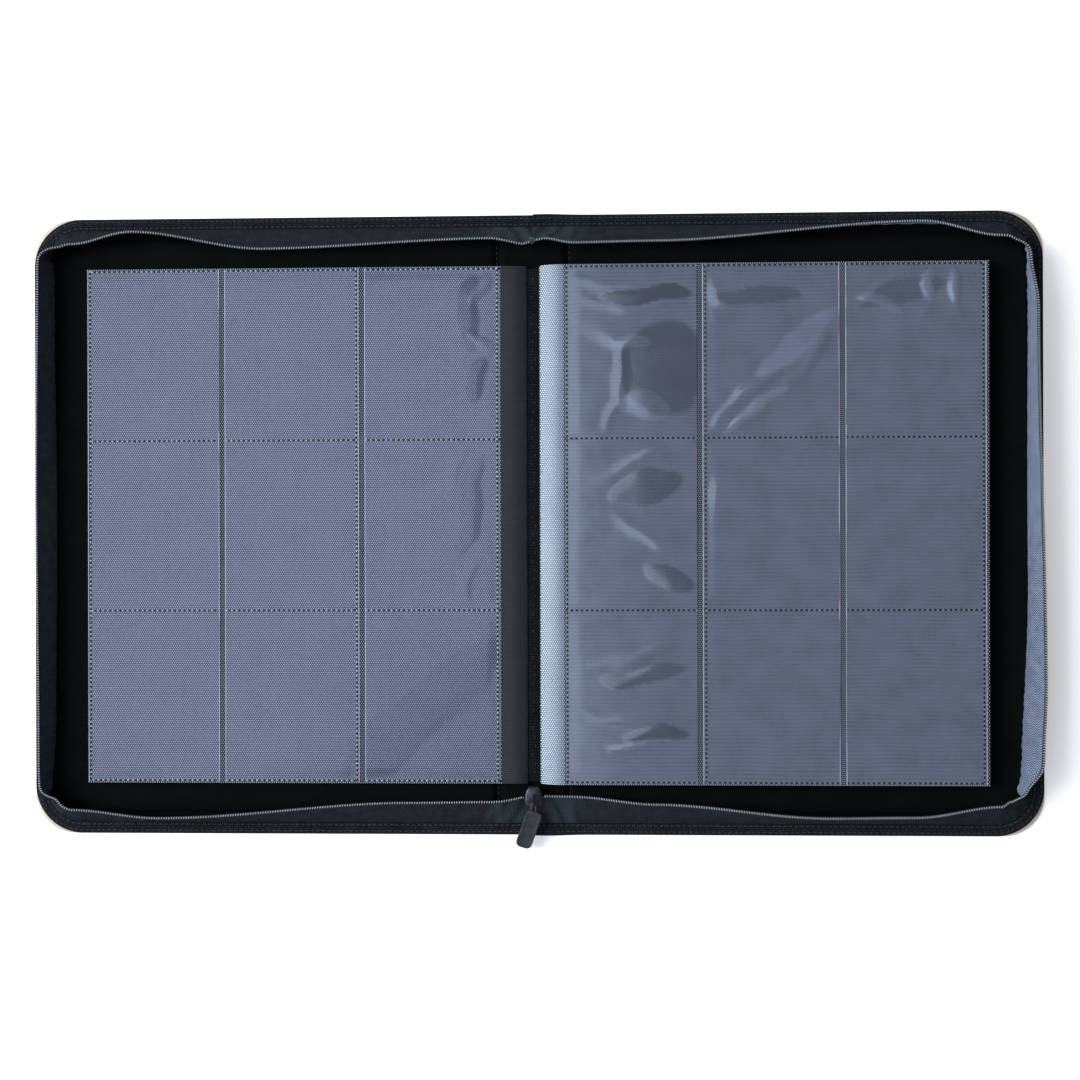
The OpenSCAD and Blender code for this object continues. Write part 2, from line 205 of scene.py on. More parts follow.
def woven(name, dark, light, pitch, depth, roughness=0.95, gloss=0.03, painted_glints=0.0):
    """Plain weave of two crossed sets of threads, with the odd lighter speck painted in as a glint."""
    look = Look(name, dark, roughness, Specular_IOR_Level=gloss)
    u, v, vector = look.uv()
    weave = look.times(look.wave(u, pitch), look.wave(v, pitch))
    specks = look.times(look.ramp(look.noise(vector, 0.8, 1), 0, 1, 0.52, 0.7), painted_glints)
    shade = look.plus(look.times(weave, look.noise(vector, 14, 4)), specks)
    look.color(shade, dark, light)
    return look.bump(weave, depth).material


def herringbone(name, dark, light, sheen):
    """Zip tape: slanting ribs that turn over every few millimetres of its width, painted lighter where
    the mesh carries a painted highlight.
    """
    look = Look(name, dark, 0.8, Specular_IOR_Level=0.0, Sheen_Weight=sheen, Sheen_Roughness=0.35)
    look.bsdf.inputs["Sheen Tint"].default_value = (0.62, 0.76, 1.0, 1)
    u, v, vector = look.uv()
    fold = look.math("PINGPONG", v, 1.5)
    ribs = look.wave(look.plus(u, look.times(fold, 1.1)), 1.3)
    wear = look.ramp(look.noise(vector, 5, 4), 0.3, 1.1)
    # Painted highlight carried by the mesh lightens the ribs
    painted_highlight = look.plus(1.0, look.painted("PaintedHighlight"))
    look.color(look.times(ribs, look.times(wear, painted_highlight)), dark, light)
    return look.bump(ribs, 0.25).material


def honeycomb(look, u, v, pitch=1.2):
    """Value between 0 and 1 that peaks on a triangular grid of dots."""
    row = pitch * math.sqrt(3) / 2
    along = look.times(u, math.sqrt(3) / 2)
    half = look.times(v, 0.5)
    slanting = look.times(look.wave(look.plus(along, half), row),
                         look.wave(look.math("SUBTRACT", along, half), row))
    dots = look.times(look.wave(v, row), slanting)
    return look.math("POWER", dots, 0.6)


def embossed(name, dark, light, roughness=(0.42, 0.24), depth=0.1, sharpness=1.6, painted_glare=(1.0, 1.0),
             **constants):
    """Plastic sheet embossed with a honeycomb of raised dots, their highlights painted in as light dots;
    a painted reflection runs from the binding outwards.
    """
    look = Look(name, dark, 0.34, **constants)
    u, v, vector = look.uv()
    dots = look.math("POWER", honeycomb(look, u, v), sharpness)
    patches = look.times(look.ramp(look.noise(vector, 30, 3), 0.6, 1.1), look.ramp(u, *painted_glare, 4, 16))
    # Painted highlights on the raised dots, made stronger by the painted reflection near the binding
    look.color(look.times(dots, patches), dark, light)
    look.rough(look.ramp(dots, *roughness))
    return look.bump(dots, depth).material


def ribbed_sheet(name, dark, light):
    """Bare inner margin of a leaf: the same plastic with fine ribs across it."""
    look = Look(name, dark, 0.32)
    u, v, vector = look.uv()
    ribs = look.wave(look.plus(v, look.times(look.wave(u, 1.1), 0.28)), 1.14)
    look.color(look.times(ribs, look.ramp(look.noise(vector, 9, 3), 0.4, 1.0)), dark, light)
    return look.bump(ribs, 0.16).material


def film(name, dark, light, alpha, contrast, gloss):
    """Clear soft film, hazy where it touches the embossed sheet; its colour is painted darker where it
    stands off it and under painted shade, and lighter under painted highlights on creases.
    """
    look = Look(name, dark, 0.12, Alpha=alpha, IOR=1.6, Specular_IOR_Level=gloss)
    u, v, vector = look.uv()
    haze_and_light = look.painted("HazeAndLight")
    haze = look.noise(vector, 16, 4)
    lines = look.wave(look.plus(v, look.times(look.noise(vector, 40, 2), 3)), 2.1)
    # Painted highlights of the embossed dots seen through the film
    dots = look.times(honeycomb(look, u, v), contrast)
    cloud = look.plus(look.ramp(haze, 0.25, 0.75), look.times(lines, 0.2))
    cloud = look.times(cloud, 1 - contrast)
    look.color(look.times(look.plus(dots, cloud), haze_and_light), dark, light)
    look.rough(look.ramp(haze, 0.07, 0.16))
    return look.bump(look.noise(vector, 12, 1), 0.04).material


def coil_nylon():
    """Smooth black monofilament with a painted glint at the top of every turn; u counts the turns."""
    look = Look("Coil nylon", (0.01, 0.012, 0.014), 0.3, IOR=1.5, Specular_IOR_Level=0.25)
    u, _, vector = look.uv()
    painted_glint = look.math("POWER", look.wave(look.math("SUBTRACT", u, 0.25), 1.0), 12.0)
    look.color(look.times(painted_glint, look.ramp(look.noise(vector, 9, 3), 0.5, 1.2)),
               (0.004, 0.005, 0.006), (0.55, 0.6, 0.67))
    return look.bump(look.noise(vector, 2, 2), 0.02).material


def plain(name, color, roughness, grain=0.4, depth=0.03, wear=None, **constants):
    """Moulded or cast material with a fine grain and a little colour variation."""
    look = Look(name, color, roughness, **constants)
    vector = look.place()
    light = wear or tuple(min(1, c * 1.5 + 0.01) for c in color)
    look.color(look.ramp(look.noise(vector, 3, 4), 0, 1, 0.35, 0.75), color, light)
    look.rough(look.ramp(look.noise(vector, 1.5, 3), roughness * 0.8, min(1, roughness * 1.25)))
    return look.bump(look.noise(vector, grain, 2), depth).material


SKIN = leatherette()
LINING = woven("Lining cloth", (0.0024, 0.0035, 0.0033), (0.013, 0.018, 0.0185), 0.7, 0.06)
# Rim cloth, its lighter specks painted glints
RIM = woven("Rim cloth", (0.0018, 0.0026, 0.0032), (0.066, 0.08, 0.096), 0.95, 0.2, 0.8, 0.05, 0.3)
COMB = woven("Comb cloth", (0.003, 0.004, 0.0045), (0.06, 0.072, 0.08), 0.8, 0.12)
# One tape cloth in lit and shaded copies: the right inside face painted much lighter, as lit by the key
# light from the left, the left inside face painted dark as in shade
TAPE_INSIDE = {
    LEFT: herringbone("Left zip tape inside, painted shade", (0.0045, 0.0055, 0.006), (0.085, 0.1, 0.11), 0.05),
    RIGHT: herringbone("Right zip tape inside, painted light", (0.011, 0.013, 0.019), (0.39, 0.465, 0.65), 0.27),
}
TAPE_OUTSIDE = herringbone("Zip tape outside", (0.0015, 0.002, 0.0023), (0.052, 0.063, 0.075), 0.0)
# Sheet under the films, with painted highlights on its raised dots
SHEET = embossed("Embossed sheet", (0.0015, 0.0017, 0.002), (0.62, 0.68, 0.9), Specular_IOR_Level=0.03)
# Margin of the right leaf, painted light with a reflection of the key light that fades away from the
# binding
GLARE_SHEET = embossed("Sloping margin, painted glare", (0.028, 0.036, 0.066), (0.8, 0.89, 1.0), (0.4, 0.22), 0.34, 1.0,
                        (2.9, 0.8), IOR=1.6, Specular_IOR_Level=1.0, Specular_Tint=(0.64, 0.78, 1.0, 1))
MARGIN = ribbed_sheet("Leaf margin", (0.0025, 0.0032, 0.0042), (0.026, 0.033, 0.046))
# One film in lit and shaded copies: the left one painted about twice as light as the right, as the key
# light falls from the left
FILM = {
    LEFT: film("Film on the left leaf", (0.03, 0.033, 0.054), (0.445, 0.49, 0.715), 0.66, 0.8, 0.4),
    RIGHT: film("Film on the right leaf", (0.05, 0.056, 0.078), (0.235, 0.266, 0.365), 0.78, 0.36, 0.85),
}
COIL = coil_nylon()
THREAD = plain("Black thread", (0.012, 0.014, 0.018), 0.7, Specular_IOR_Level=0.2)
SEAM_THREAD = plain("Grey thread", (0.03, 0.035, 0.04), 0.7, Specular_IOR_Level=0.2)
YELLOW_THREAD = plain("Yellow thread", (0.05, 0.045, 0.025), 0.7)
# Painted highlight along the cut edges of the clear films
LIP = plain("Film edge", (0.3, 0.34, 0.44), 0.3, Alpha=0.85)
WELD = plain("Weld", (0.003, 0.0033, 0.0045), 0.4, Specular_IOR_Level=0.3)
# Painted highlights of the film's puckers between the welds, lighter on the left leaf as the key light
# falls
BEAD = {
    LEFT: plain("Bright weld bead", (0.3, 0.34, 0.44), 0.2),
    RIGHT: plain("Weld bead", (0.15, 0.175, 0.24), 0.2),
}
LEAF_EDGE = plain("Leaf stack", (0.02, 0.023, 0.03), 0.45)
BOARD = plain("Grey board", (0.2, 0.19, 0.17), 0.9, 1.5, 0.1)
FOAM = plain("Foam", (0.02, 0.02, 0.022), 0.9, 0.8, 0.1)
METAL = plain("Slider metal", (0.02, 0.027, 0.034), 0.32, 0.5, 0.02, (0.07, 0.085, 0.105), Metallic=0.7)
WIRE = plain("Link wire", (0.07, 0.035, 0.025), 0.35, 0.5, 0.02, (0.26, 0.14, 0.09), Metallic=0.7)
RUBBER = plain("Tab rubber", (0.017, 0.022, 0.027), 0.6, 0.35, 0.03, Specular_IOR_Level=0.3)


# ---- Mesh building ----------------------------------------------------------------------
def make(name, verts, faces, material, slot, uv=None, smooth=True):
    """A mesh object from arrays; uv holds one pair per vertex, in millimetres."""
    mesh = bpy.data.meshes.new(name)
    mesh.from_pydata(np.asarray(verts).tolist(), [], [list(map(int, f)) for f in faces])
    if uv is None:
        uv = np.asarray(verts)[:, :2] / MM
    index = np.zeros(len(mesh.loops), np.int32)
    mesh.loops.foreach_get("vertex_index", index)
    layer = mesh.uv_layers.new(name="Cloth")
    layer.data.foreach_set("uv", np.asarray(uv, np.float32)[index].ravel())
    mesh.polygons.foreach_set("use_smooth", np.full(len(mesh.polygons), smooth))
    mesh.materials.append(material)
    mesh.validate()
    if enclosed_volume(mesh) < 0:
        mesh.flip_normals()
    mesh.set_sharp_from_angle(angle=math.radians(75))
    obj = bpy.data.objects.new(name, mesh)
    bpy.context.scene.collection.objects.link(obj)
    return obj


def enclosed_volume(mesh):
    """Volume inside a closed mesh, negative where its faces look inwards."""
    mesh.calc_loop_triangles()
    corners = np.zeros(len(mesh.loop_triangles) * 3, np.int32)
    mesh.loop_triangles.foreach_get("vertices", corners)
    places = np.zeros(len(mesh.vertices) * 3)
    mesh.vertices.foreach_get("co", places)
    a, b, c = places.reshape(-1, 3)[corners.reshape(-1, 3)].transpose(1, 0, 2)
    return float((a * np.cross(b, c)).sum()) / 6


def strip_faces(count, width, closed):
    """Quads between count rings of width points each."""
    span = width if closed else width - 1
    k, i = np.meshgrid(np.arange(count - 1), np.arange(span), indexing="ij")
    a = k * width + i
    b = k * width + (i + 1) % width
    return np.stack([a, b, b + width, a + width], -1).reshape(-1, 4).tolist()


def tube_mesh(rings):
    """Vertices and faces of closed rings joined one after another, with both ends closed."""
    rings = np.asarray(rings, float)
    count, width = rings.shape[:2]
    faces = strip_faces(count, width, True)
    faces.append(list(range(width))[::-1])
    faces.append([(count - 1) * width + i for i in range(width)])
    return rings.reshape(-1, 3), faces


def slab(grid, thickness):
    """Closed sheet of the given thickness on both sides of a grid of points."""
    grid = np.asarray(grid, float)
    rows, cols = grid.shape[:2]
    du = np.gradient(grid, axis=0)
    dv = np.gradient(grid, axis=1)
    normal = np.cross(du, dv)
    normal /= np.maximum(np.linalg.norm(normal, axis=2, keepdims=True), 1e-12)
    if np.ndim(thickness) == 2:
        thickness = thickness[..., None]
    top = (grid + normal * thickness / 2).reshape(-1, 3)
    bottom = (grid - normal * thickness / 2).reshape(-1, 3)
    n = rows * cols
    sheet = np.array(strip_faces(rows, cols, False))
    faces = sheet[:, ::-1].tolist() + (sheet + n).tolist()
    border = [(r, 0) for r in range(rows)] + [(rows - 1, c) for c in range(1, cols)]
    border += [(r, cols - 1) for r in range(rows - 2, -1, -1)] + [(0, c) for c in range(cols - 2, 0, -1)]
    ids = [r * cols + c for r, c in border]
    for a, b in zip(ids, ids[1:] + ids[:1]):
        faces.append([a, b, b + n, a + n])
    return np.vstack([top, bottom]), faces


def many(shape_verts, shape_faces, matrices):
    """One mesh holding the shape at every (3x3 turn, place) pair."""
    verts, faces = [], []
    base = np.asarray(shape_verts, float)
    for turn, place in matrices:
        offset = len(verts) * len(base)
        verts.append(base @ np.asarray(turn).T + place)
        faces += [[i + offset for i in f] for f in shape_faces]
    return np.vstack(verts), faces


def swept(points, radius_a, radius_b=None, sides=8, up=(0, 0, 1), closed=False):
    """Tube of elliptical section along a list of points."""
    points = np.asarray(points, float)
    radius_b = radius_a if radius_b is None else radius_b
    tangent = np.roll(points, -1, 0) - np.roll(points, 1, 0) if closed else np.gradient(points, axis=0)
    tangent /= np.maximum(np.linalg.norm(tangent, axis=1, keepdims=True), 1e-12)
    side = np.cross(np.broadcast_to(up, points.shape), tangent)
    side /= np.maximum(np.linalg.norm(side, axis=1, keepdims=True), 1e-12)
    above = np.cross(tangent, side)
    angle = np.linspace(0, 2 * math.pi, sides, endpoint=False)
    rings = (points[:, None] + side[:, None] * (np.cos(angle) * radius_a)[None, :, None]
             + above[:, None] * (np.sin(angle) * radius_b)[None, :, None])
    if closed:
        verts = rings.reshape(-1, 3)
        faces = strip_faces(len(points), sides, True)
        last = (len(points) - 1) * sides
        faces += [[last + i, last + (i + 1) % sides, (i + 1) % sides, i] for i in range(sides)]
        return verts, faces
    return tube_mesh(rings)


def pill(length, width, height, around=8, rows=3):
    """Flattened half drop standing on z = 0, for stitches, dents and beads."""
    rings = []
    for r in range(rows):
        t = r / (rows - 1) * 0.92
        size = math.cos(t * math.pi / 2)
        z = height * math.sin(t * math.pi / 2)
        rings.append([(length / 2 * size * math.cos(a), width / 2 * size * math.sin(a), z)
                      for a in np.linspace(0, 2 * math.pi, around, endpoint=False)])
    return tube_mesh(rings)


def turn_z(angle):
    c, s = math.cos(angle), math.sin(angle)
    return np.array([[c, -s, 0], [s, c, 0], [0, 0, 1]])


def smoothstep(value, low, high):
    t = np.clip((np.asarray(value, float) - low) / (high - low), 0, 1)
    return t * t * (3 - 2 * t)


def bell(value, middle, width):
    """1 at the middle, falling to about a third at width to either side."""
    return math.exp(-((value - middle) / width) ** 2)


def ease(table, value):
    """Smooth value between listed [place, value] rows, the same rule as the CAD's."""
    table = np.asarray(table, float)
    k = np.clip(np.searchsorted(table[:, 0], value, side="right") - 1, 0, len(table) - 2)
    t = (value - table[k, 0]) / (table[k + 1, 0] - table[k, 0])
    return table[k, 1] + (table[k + 1, 1] - table[k, 1]) * t * t * (3 - 2 * t)


def fold_blend(obj, side):
    """Bakes obj's placement into its mesh."""
    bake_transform(obj)
    return obj


# ---- Covers -----------------------------------------------------------------------------
SKIN_CORNER = 22 * MM
LINING_CORNER = 16 * MM
# How far board and foam end inside the lining cloth's edge
CORE_INSET = 1.7 * MM


def fold_columns(outer, radius, edge_round):
    """Distances from the spine's middle at which a cover layer has a row of points."""
    near = np.arange(0, fold_x + 12 * MM, 1.5 * MM)
    flat = np.linspace(near[-1] + 4 * MM, outer - radius, 18)
    arc = outer - radius + (radius - edge_round) * np.sin(np.radians(np.linspace(6, 90, 15)))
    return np.concatenate([near, flat, arc])


def rounded_y(x, outer, half, radius):
    """Half height of a rounded outline at distance x from the spine's middle."""
    inside = np.clip((x - (outer - radius)) / radius, 0, 1)
    return half - radius + radius * np.sqrt(1 - inside ** 2)


def plate_rings(columns, outer, half, radius, low, high, edge_round, across=25):
    """Rings of a plate with rounded edges, whose faces lie at low(x, y) and high(x, y)."""
    rings = []
    share = np.linspace(-1, 1, across)
    for x in np.append(columns, outer):
        last = x == outer
        y1 = rounded_y(min(x, outer - edge_round * 0.3), outer, half, radius)
        y1 -= edge_round if last else 0
        y = share * (y1 - edge_round)
        bottom, top = low(x, y), high(x, y)
        middle = (bottom[0] + top[0]) / 2
        if last:
            bottom, top = (bottom * 0.3 + middle * 0.7), (top * 0.3 + middle * 0.7)
        ring = [(x, a, b) for a, b in zip(y, bottom)] + [(x, y1, middle)]
        ring += [(x, a, b) for a, b in zip(y[::-1], top[::-1])] + [(x, -y1, middle)]
        rings.append(ring)
    return np.array(rings)


def flat_at(z):
    """Face of a plate that lies level at height z."""
    return lambda x, y: np.full(len(y), z)


def two_round_corners(width, length, radius):
    """Area of a rectangle with two of its corners rounded."""
    return width * length - (2 - math.pi / 2) * radius ** 2


def cover_plate(name, side, rings, material, slot, *replaced):
    verts, faces = tube_mesh(rings * np.array([side, 1, 1]))
    obj = make(name, verts, faces, material, slot)
    fold_blend(obj, side)
    if replaced:
        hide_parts(*replaced)
    return obj


def outer_skin(side):
    """Leatherette from the spine's middle to the cover's edge, grooved along the fold."""
    def low(x, y):
        groove = np.exp(-((x - fold_x - 2.2 * MM) / (1.3 * MM)) ** 2)
        groove += np.exp(-((x - fold_x + 2.2 * MM) / (1.3 * MM)) ** 2)
        return np.full(len(y), 0.45 * MM * groove)

    columns = fold_columns(reach, SKIN_CORNER, 0.5 * MM)
    rings = plate_rings(columns, reach, half_h, SKIN_CORNER, low, flat_at(skin_t), 0.5 * MM)
    spine = ["spine_skin"] if side == RIGHT else []
    skin = cover_plate(f"{COVER_NAME[side]}_leatherette", side, rings, SKIN, "leatherette",
                       f"{COVER_NAME[side]}_cover_skin", *spine)
    two_round_corners(reach, 2 * half_h, SKIN_CORNER)


def inner_lining(side):
    """Black cloth over board and foam, sunk between the stiff panels along the fold."""
    top = panel_high.z
    sunk = 2.1 * MM

    def high(x, y):
        dip = 1 - smoothstep(abs(x - fold_x), 0.7 * MM, 3.2 * MM)
        ripple = 0.07 * MM * np.sin(y / (31 * MM) + x / (17 * MM)) * np.sin(x / (23 * MM) - y / (47 * MM))
        return top - (top - sunk) * dip + ripple * (1 - dip)

    columns = fold_columns(panel_high.x, LINING_CORNER, 1.4 * MM)
    rings = plate_rings(columns, panel_high.x, panel_high.y, LINING_CORNER,
                        flat_at(skin_t + 0.05 * MM), high, 1.4 * MM, 41)
    spine = ["spine_lining"] if side == RIGHT else []
    cover_plate(f"{COVER_NAME[side]}_lining_cloth", side, rings, LINING, "lining",
                          f"{COVER_NAME[side]}_cover_lining", *spine)


def stiffeners(side):
    """Board and foam of a cover, ending short of the cloth's rounded edge."""
    outer, half, radius = (size - CORE_INSET for size in (panel_high.x, panel_high.y, LINING_CORNER))
    for kind, material, slot in (("board", BOARD, "board"), ("foam", FOAM, "foam")):
        node = f"{COVER_NAME[side]}_cover_{kind}"
        low_corner, high_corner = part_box(node)
        columns = fold_columns(outer, radius, 0.1 * MM)
        columns = columns[columns > fold_x + 3.4 * MM]
        rings = plate_rings(columns, outer, half, radius, flat_at(low_corner.z + 0.03 * MM),
                            flat_at(high_corner.z - 0.03 * MM), 0.1 * MM)
        verts, faces = tube_mesh(rings * np.array([side, 1, 1]))
        obj = make(f"{node}_core", verts, faces, material, slot)
        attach(obj, COVER[side])
        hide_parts(node)


def spine_core():
    """Board and foam of the spine, with eased edges."""
    for kind, material, slot in (("board", BOARD, "board"), ("foam", FOAM, "foam")):
        node = f"spine_{kind}"
        low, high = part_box(node)
        outline = rounded_outline(high.x, low.y + 1.2 * MM, high.y - 1.2 * MM, 1.5 * MM)
        shape = pillow(outline, low.z + 0.03 * MM, high.z - 0.03 * MM, 0.12 * MM)
        obj = make(f"{node}_core", *shape, material, slot)
        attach(obj, "spine")
        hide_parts(node)


def gutter_cloth(side):
    """Cloth between the padded panel and the foot of the zip tape."""
    outer, half = base_x - 0.1 * MM, base_y - 0.1 * MM
    low = flat_at(skin_t + 0.02 * MM)

    def high(x, y):
        edge = np.maximum(np.abs(y) - (half - 5 * MM), x - (outer - 3 * MM))
        return skin_t + 0.45 * MM + 0.35 * MM * smoothstep(edge, 0, 5 * MM)

    columns = fold_columns(outer, base_r, 0.2 * MM)
    rings = plate_rings(columns, outer, half, base_r, low, high, 0.2 * MM, 41)
    cloth = cover_plate(f"{COVER_NAME[side]}_gutter_cloth", side, rings, LINING, "lining")
    two_round_corners(outer, 2 * half, base_r)


# ---- Zip --------------------------------------------------------------------------------
# The route repeats the CAD's, its bends eased: a station runs along the top, down the outer
# side and back.
base_r = 18 * MM
base_x = reach - 7.2 * MM
base_y = half_h - 6.8 * MM
base_z = rim_high.z + 0.15 * MM
start_x = fold_x + 1.6 * MM
side_run = base_x - base_r - start_x
tape_w = 16.6 * MM
coil_r = 1.1 * MM
LEAN = {
    RIGHT: [[-0.091, 9.6], [-0.06, 8.2], [0, 10.5], [0.2, 10], [0.82, 1.5], [1, 9], [1.5, 8], [2, 3],
            [2.1, -1], [2.8, -4.5], [2.95, -3], [3, 6], [3.2, 10], [3.6, 12], [4, 11], [4.2, 5.5],
            [4.4, 5], [4.8, 11.5], [5, 15], [5.091, 15.2]],
    LEFT: [[-0.091, 9.6], [-0.07, 11.2], [-0.035, 9.4], [0, 8], [0.55, 12], [0.86, 3], [1, 9],
           [1.4, 8.5], [2, 0], [2.4, -1], [2.95, 0], [3.25, 8], [4, 8], [4.2, 4], [4.8, 12],
           [5, 12.5], [5.091, 15.2]],
}
# Inward sag of the slack tape between its foot and the coil, in millimetres
SAG = {
    RIGHT: [[0, 0], [1.6, 0], [2.05, 2], [2.6, 2.4], [2.97, 6.5], [3.3, 0], [5.1, 0]],
    LEFT: [[0, 0], [1.8, 0], [2.05, 5.2], [2.5, 6], [2.85, 5.6], [3.15, 0], [5.1, 0]],
}
# Stations of the spine's middle, before the first and after the last of the CAD's
spine_station = start_x / side_run


def outward(u):
    """Outward direction of the rim at station u."""
    turned = min(max(u - 1, 0), 1) + min(max(u - 3, 0), 1)
    angle = math.pi / 2 * (1 - turned)
    return np.array([math.cos(angle), math.sin(angle)])


def rim_point(u, inset=0.0):
    """Point of the tape's foot at station u, moved inwards by inset."""
    corner = np.array([base_x - base_r, base_y - base_r])
    out = outward(u)
    if u <= 1:
        point = np.array([start_x + side_run * u, base_y])
    elif u < 2:
        point = corner + base_r * out
    elif u <= 3:
        point = np.array([base_x, corner[1] * (5 - 2 * u)])
    elif u < 4:
        point = corner * np.array([1, -1]) + base_r * out
    else:
        point = np.array([start_x + side_run * (5 - u), -base_y])
    return point - out * inset


def lean_at(side, u):
    return float(np.interp(u, *LEAN_PROFILE[side])) * MM


def sag_at(side, u, share):
    return float(ease(SAG[side], max(u, 0))) * MM * math.sin(math.pi * share ** 0.5)


def tape_point(side, u, share):
    """Point at a share of the tape's width, 0 at its foot and 1 at the coil's middle."""
    lean = lean_at(side, u)
    flat = rim_point(u) - outward(u) * (lean * share + sag_at(side, u, share))
    return np.array([flat[0], flat[1], base_z + math.sqrt(tape_w ** 2 - lean ** 2) * share])


def route_stations(step):
    """Stations about step apart along the rim, from the spine's middle round and back."""
    lengths = [side_run + start_x, math.pi / 2 * base_r, 2 * (base_y - base_r), math.pi / 2 * base_r,
               side_run + start_x]
    starts = [-spine_station, 1, 2, 3, 4]
    ends = [1, 2, 3, 4, 5 + spine_station]
    parts = [np.linspace(a, b, max(3, round(length / step)), endpoint=False)
             for a, b, length in zip(starts, ends, lengths)]
    return np.append(np.concatenate(parts), ends[-1])


def smoothed(table):
    """Stations half a millimetre apart, and the table's value there, eased over 6 mm either way."""
    steps = 12
    stations = route_stations(0.5 * MM)
    window = np.hanning(2 * steps + 1)
    values = ease(table, np.clip(stations, table[0][0], table[-1][0]))
    values = np.pad(values, steps, mode="reflect", reflect_type="odd")
    return stations, np.convolve(values, window / window.sum(), mode="valid")


LEAN_PROFILE = {side: smoothed(table) for side, table in LEAN.items()}


def corner_share(u):
    """1 in the middle of a corner, 0 on the straight sides."""
    return sum(bell(u, middle, 0.55) for middle in (1.5, 3.5))


def walk(step, place=rim_point):
    """Stations along the rim, each with its place and how far it is from the start."""
    travelled, last = 0.0, None
    for u in route_stations(step):
        here = place(u)
        travelled += 0.0 if last is None else np.linalg.norm(here - last)
        last = here
        yield u, here, travelled


def mirrored(points, side):
    return np.asarray(points) * np.array([side, 1, 1])


# Painted highlight: how much lighter the tape is painted on the ridges of its creases and along its fold
# at the spine
PAINTED_HIGHLIGHT = 2.0
# Share of the tape's width that ends at the coil's foot
TAPE_SHARE = 0.955


def zip_tape(side):
    """Tape standing on the rim: flat along the sides and gathered into pleats at the corners."""
    shares = np.linspace(0, TAPE_SHARE, 14)
    grid, uv, painted_highlight = [], [], []
    for u, here, travelled in walk(1.0 * MM):
        out = np.append(outward(u), 0)
        corner = corner_share(u)
        row = []
        for share in shares:
            point = tape_point(side, u, share)
            body = math.sin(math.pi * min(share * 1.4, 1)) ** 1.2
            fold = math.sin(travelled / (1.9 * MM)) * corner * 1.0 * MM * body
            foot = math.sin(travelled / (0.7 * MM)) * corner * 0.6 * MM * bell(share, 0.2, 0.2)
            bow = 0.5 * MM * math.sin(math.pi * share) * math.sin(travelled / (37 * MM))
            near_spine = bell(here[0], 0, 19 * MM)
            crumple = math.sin(here[0] / (2.3 * MM) + side)
            crumple += 0.9 * math.sin(here[0] / (4.4 * MM) + 2 * share)
            crumple *= near_spine * body * MM
            row.append(point + out * (fold + foot + bow + crumple))
            uv.append((travelled / MM, share * tape_w / MM))
            # Painted highlight on the ridges of the creases and along the fold near the spine
            crease = math.sin(here[0] / (3.1 * MM) + 2.5 * share + side) ** 2
            fold_highlight = 0.8 * bell(here[0], fold_x, 2 * MM)
            painted_highlight.append(PAINTED_HIGHLIGHT * (bell(here[0], 10 * MM, 12 * MM) * crease + fold_highlight))
        grid.append(row)
    verts, faces = slab(mirrored(grid, side), 0.55 * MM)
    # The slab's first face looks inwards on the right and outwards on the mirrored left
    first, second = (TAPE_INSIDE[side], TAPE_OUTSIDE)[::side]
    name = f"{COVER_NAME[side]}_herringbone_tape"
    obj = make(name, verts, faces, first, "zip_tape", np.vstack([uv, uv]))
    obj.data.attributes.new("PaintedHighlight", "FLOAT", "POINT").data.foreach_set("value", painted_highlight + painted_highlight)
    obj.data.materials.append(second)
    faces_per_side = (len(grid) - 1) * (len(shares) - 1)
    index = np.zeros(len(obj.data.polygons), np.int32)
    index[faces_per_side:2 * faces_per_side] = 1
    obj.data.polygons.foreach_set("material_index", index)
    fold_blend(obj, side)
    spine = ["zip_tape_top_end", "zip_tape_bottom_end"] if side == RIGHT else []
    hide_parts(f"{COVER_NAME[side]}_zip_tape", *spine)


def zip_coil(side):
    """Nylon monofilament wound round the free edge of the tape, with its sewing cord inside."""
    pitch = 1.33 * MM
    points_per_turn = 8
    stations = route_stations(pitch / points_per_turn)
    slider_gap = 5.2 * MM
    centres, outs = [], []
    for u in stations:
        point = tape_point(side, u, 1)
        if point[1] < 0 and point[0] < slider_gap:
            break
        centres.append(point)
        outs.append(np.append(outward(u), 0))
    centres, outs = np.array(centres), np.array(outs)
    step = np.linalg.norm(np.diff(centres, axis=0, prepend=centres[:1]), axis=1)
    phase = np.cumsum(step) / pitch * 2 * math.pi
    wire = 0.27 * MM
    a, b = coil_r - wire * 0.9, coil_r - wire * 1.3
    helix = centres + outs * (np.cos(phase) * b)[:, None]
    helix[:, 2] += np.sin(phase) * a
    verts, faces = swept(mirrored(helix, side), wire, wire, 5)
    turns = np.repeat(phase / (2 * math.pi), 5)
    coil_uv = np.stack([turns, np.zeros(len(turns))], -1)
    coil = make(f"{COVER_NAME[side]}_coil_turns", verts, faces, COIL, "zip_coil", coil_uv)
    fold_blend(coil, side)
    spine = ["zip_coil_top_end", "zip_coil_bottom_ends"] if side == RIGHT else []
    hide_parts(f"{COVER_NAME[side]}_zip_coil", *spine)
    cord_points = mirrored(centres[::6], side)
    verts, faces = swept(cord_points, 0.5 * MM, 0.5 * MM, 8)
    cord = make(f"{COVER_NAME[side]}_coil_cord", verts, faces, THREAD, "zip_coil")
    fold_blend(cord, side)


# Places of the two rows of stitches across the rim band
STITCH_ROWS = (0.24, 0.74)


def rim_span(u):
    """Width of the rim band at station u; its outer corners are rounder than its inner ones."""
    edge_x, edge_y = rim_high.x + 0.5 * MM, rim_high.y + 0.5 * MM
    out = outward(u)
    radius = 26 * MM
    gap = np.array([edge_x - radius - (base_x - base_r), edge_y - radius - (base_y - base_r)])
    if u <= 1 or u >= 4 or 2 <= u <= 3:
        return edge_x - base_x if 2 <= u <= 3 else edge_y - base_y
    along = float(abs(out) @ gap)
    return along + math.sqrt(along ** 2 - gap @ gap + radius ** 2) - base_r


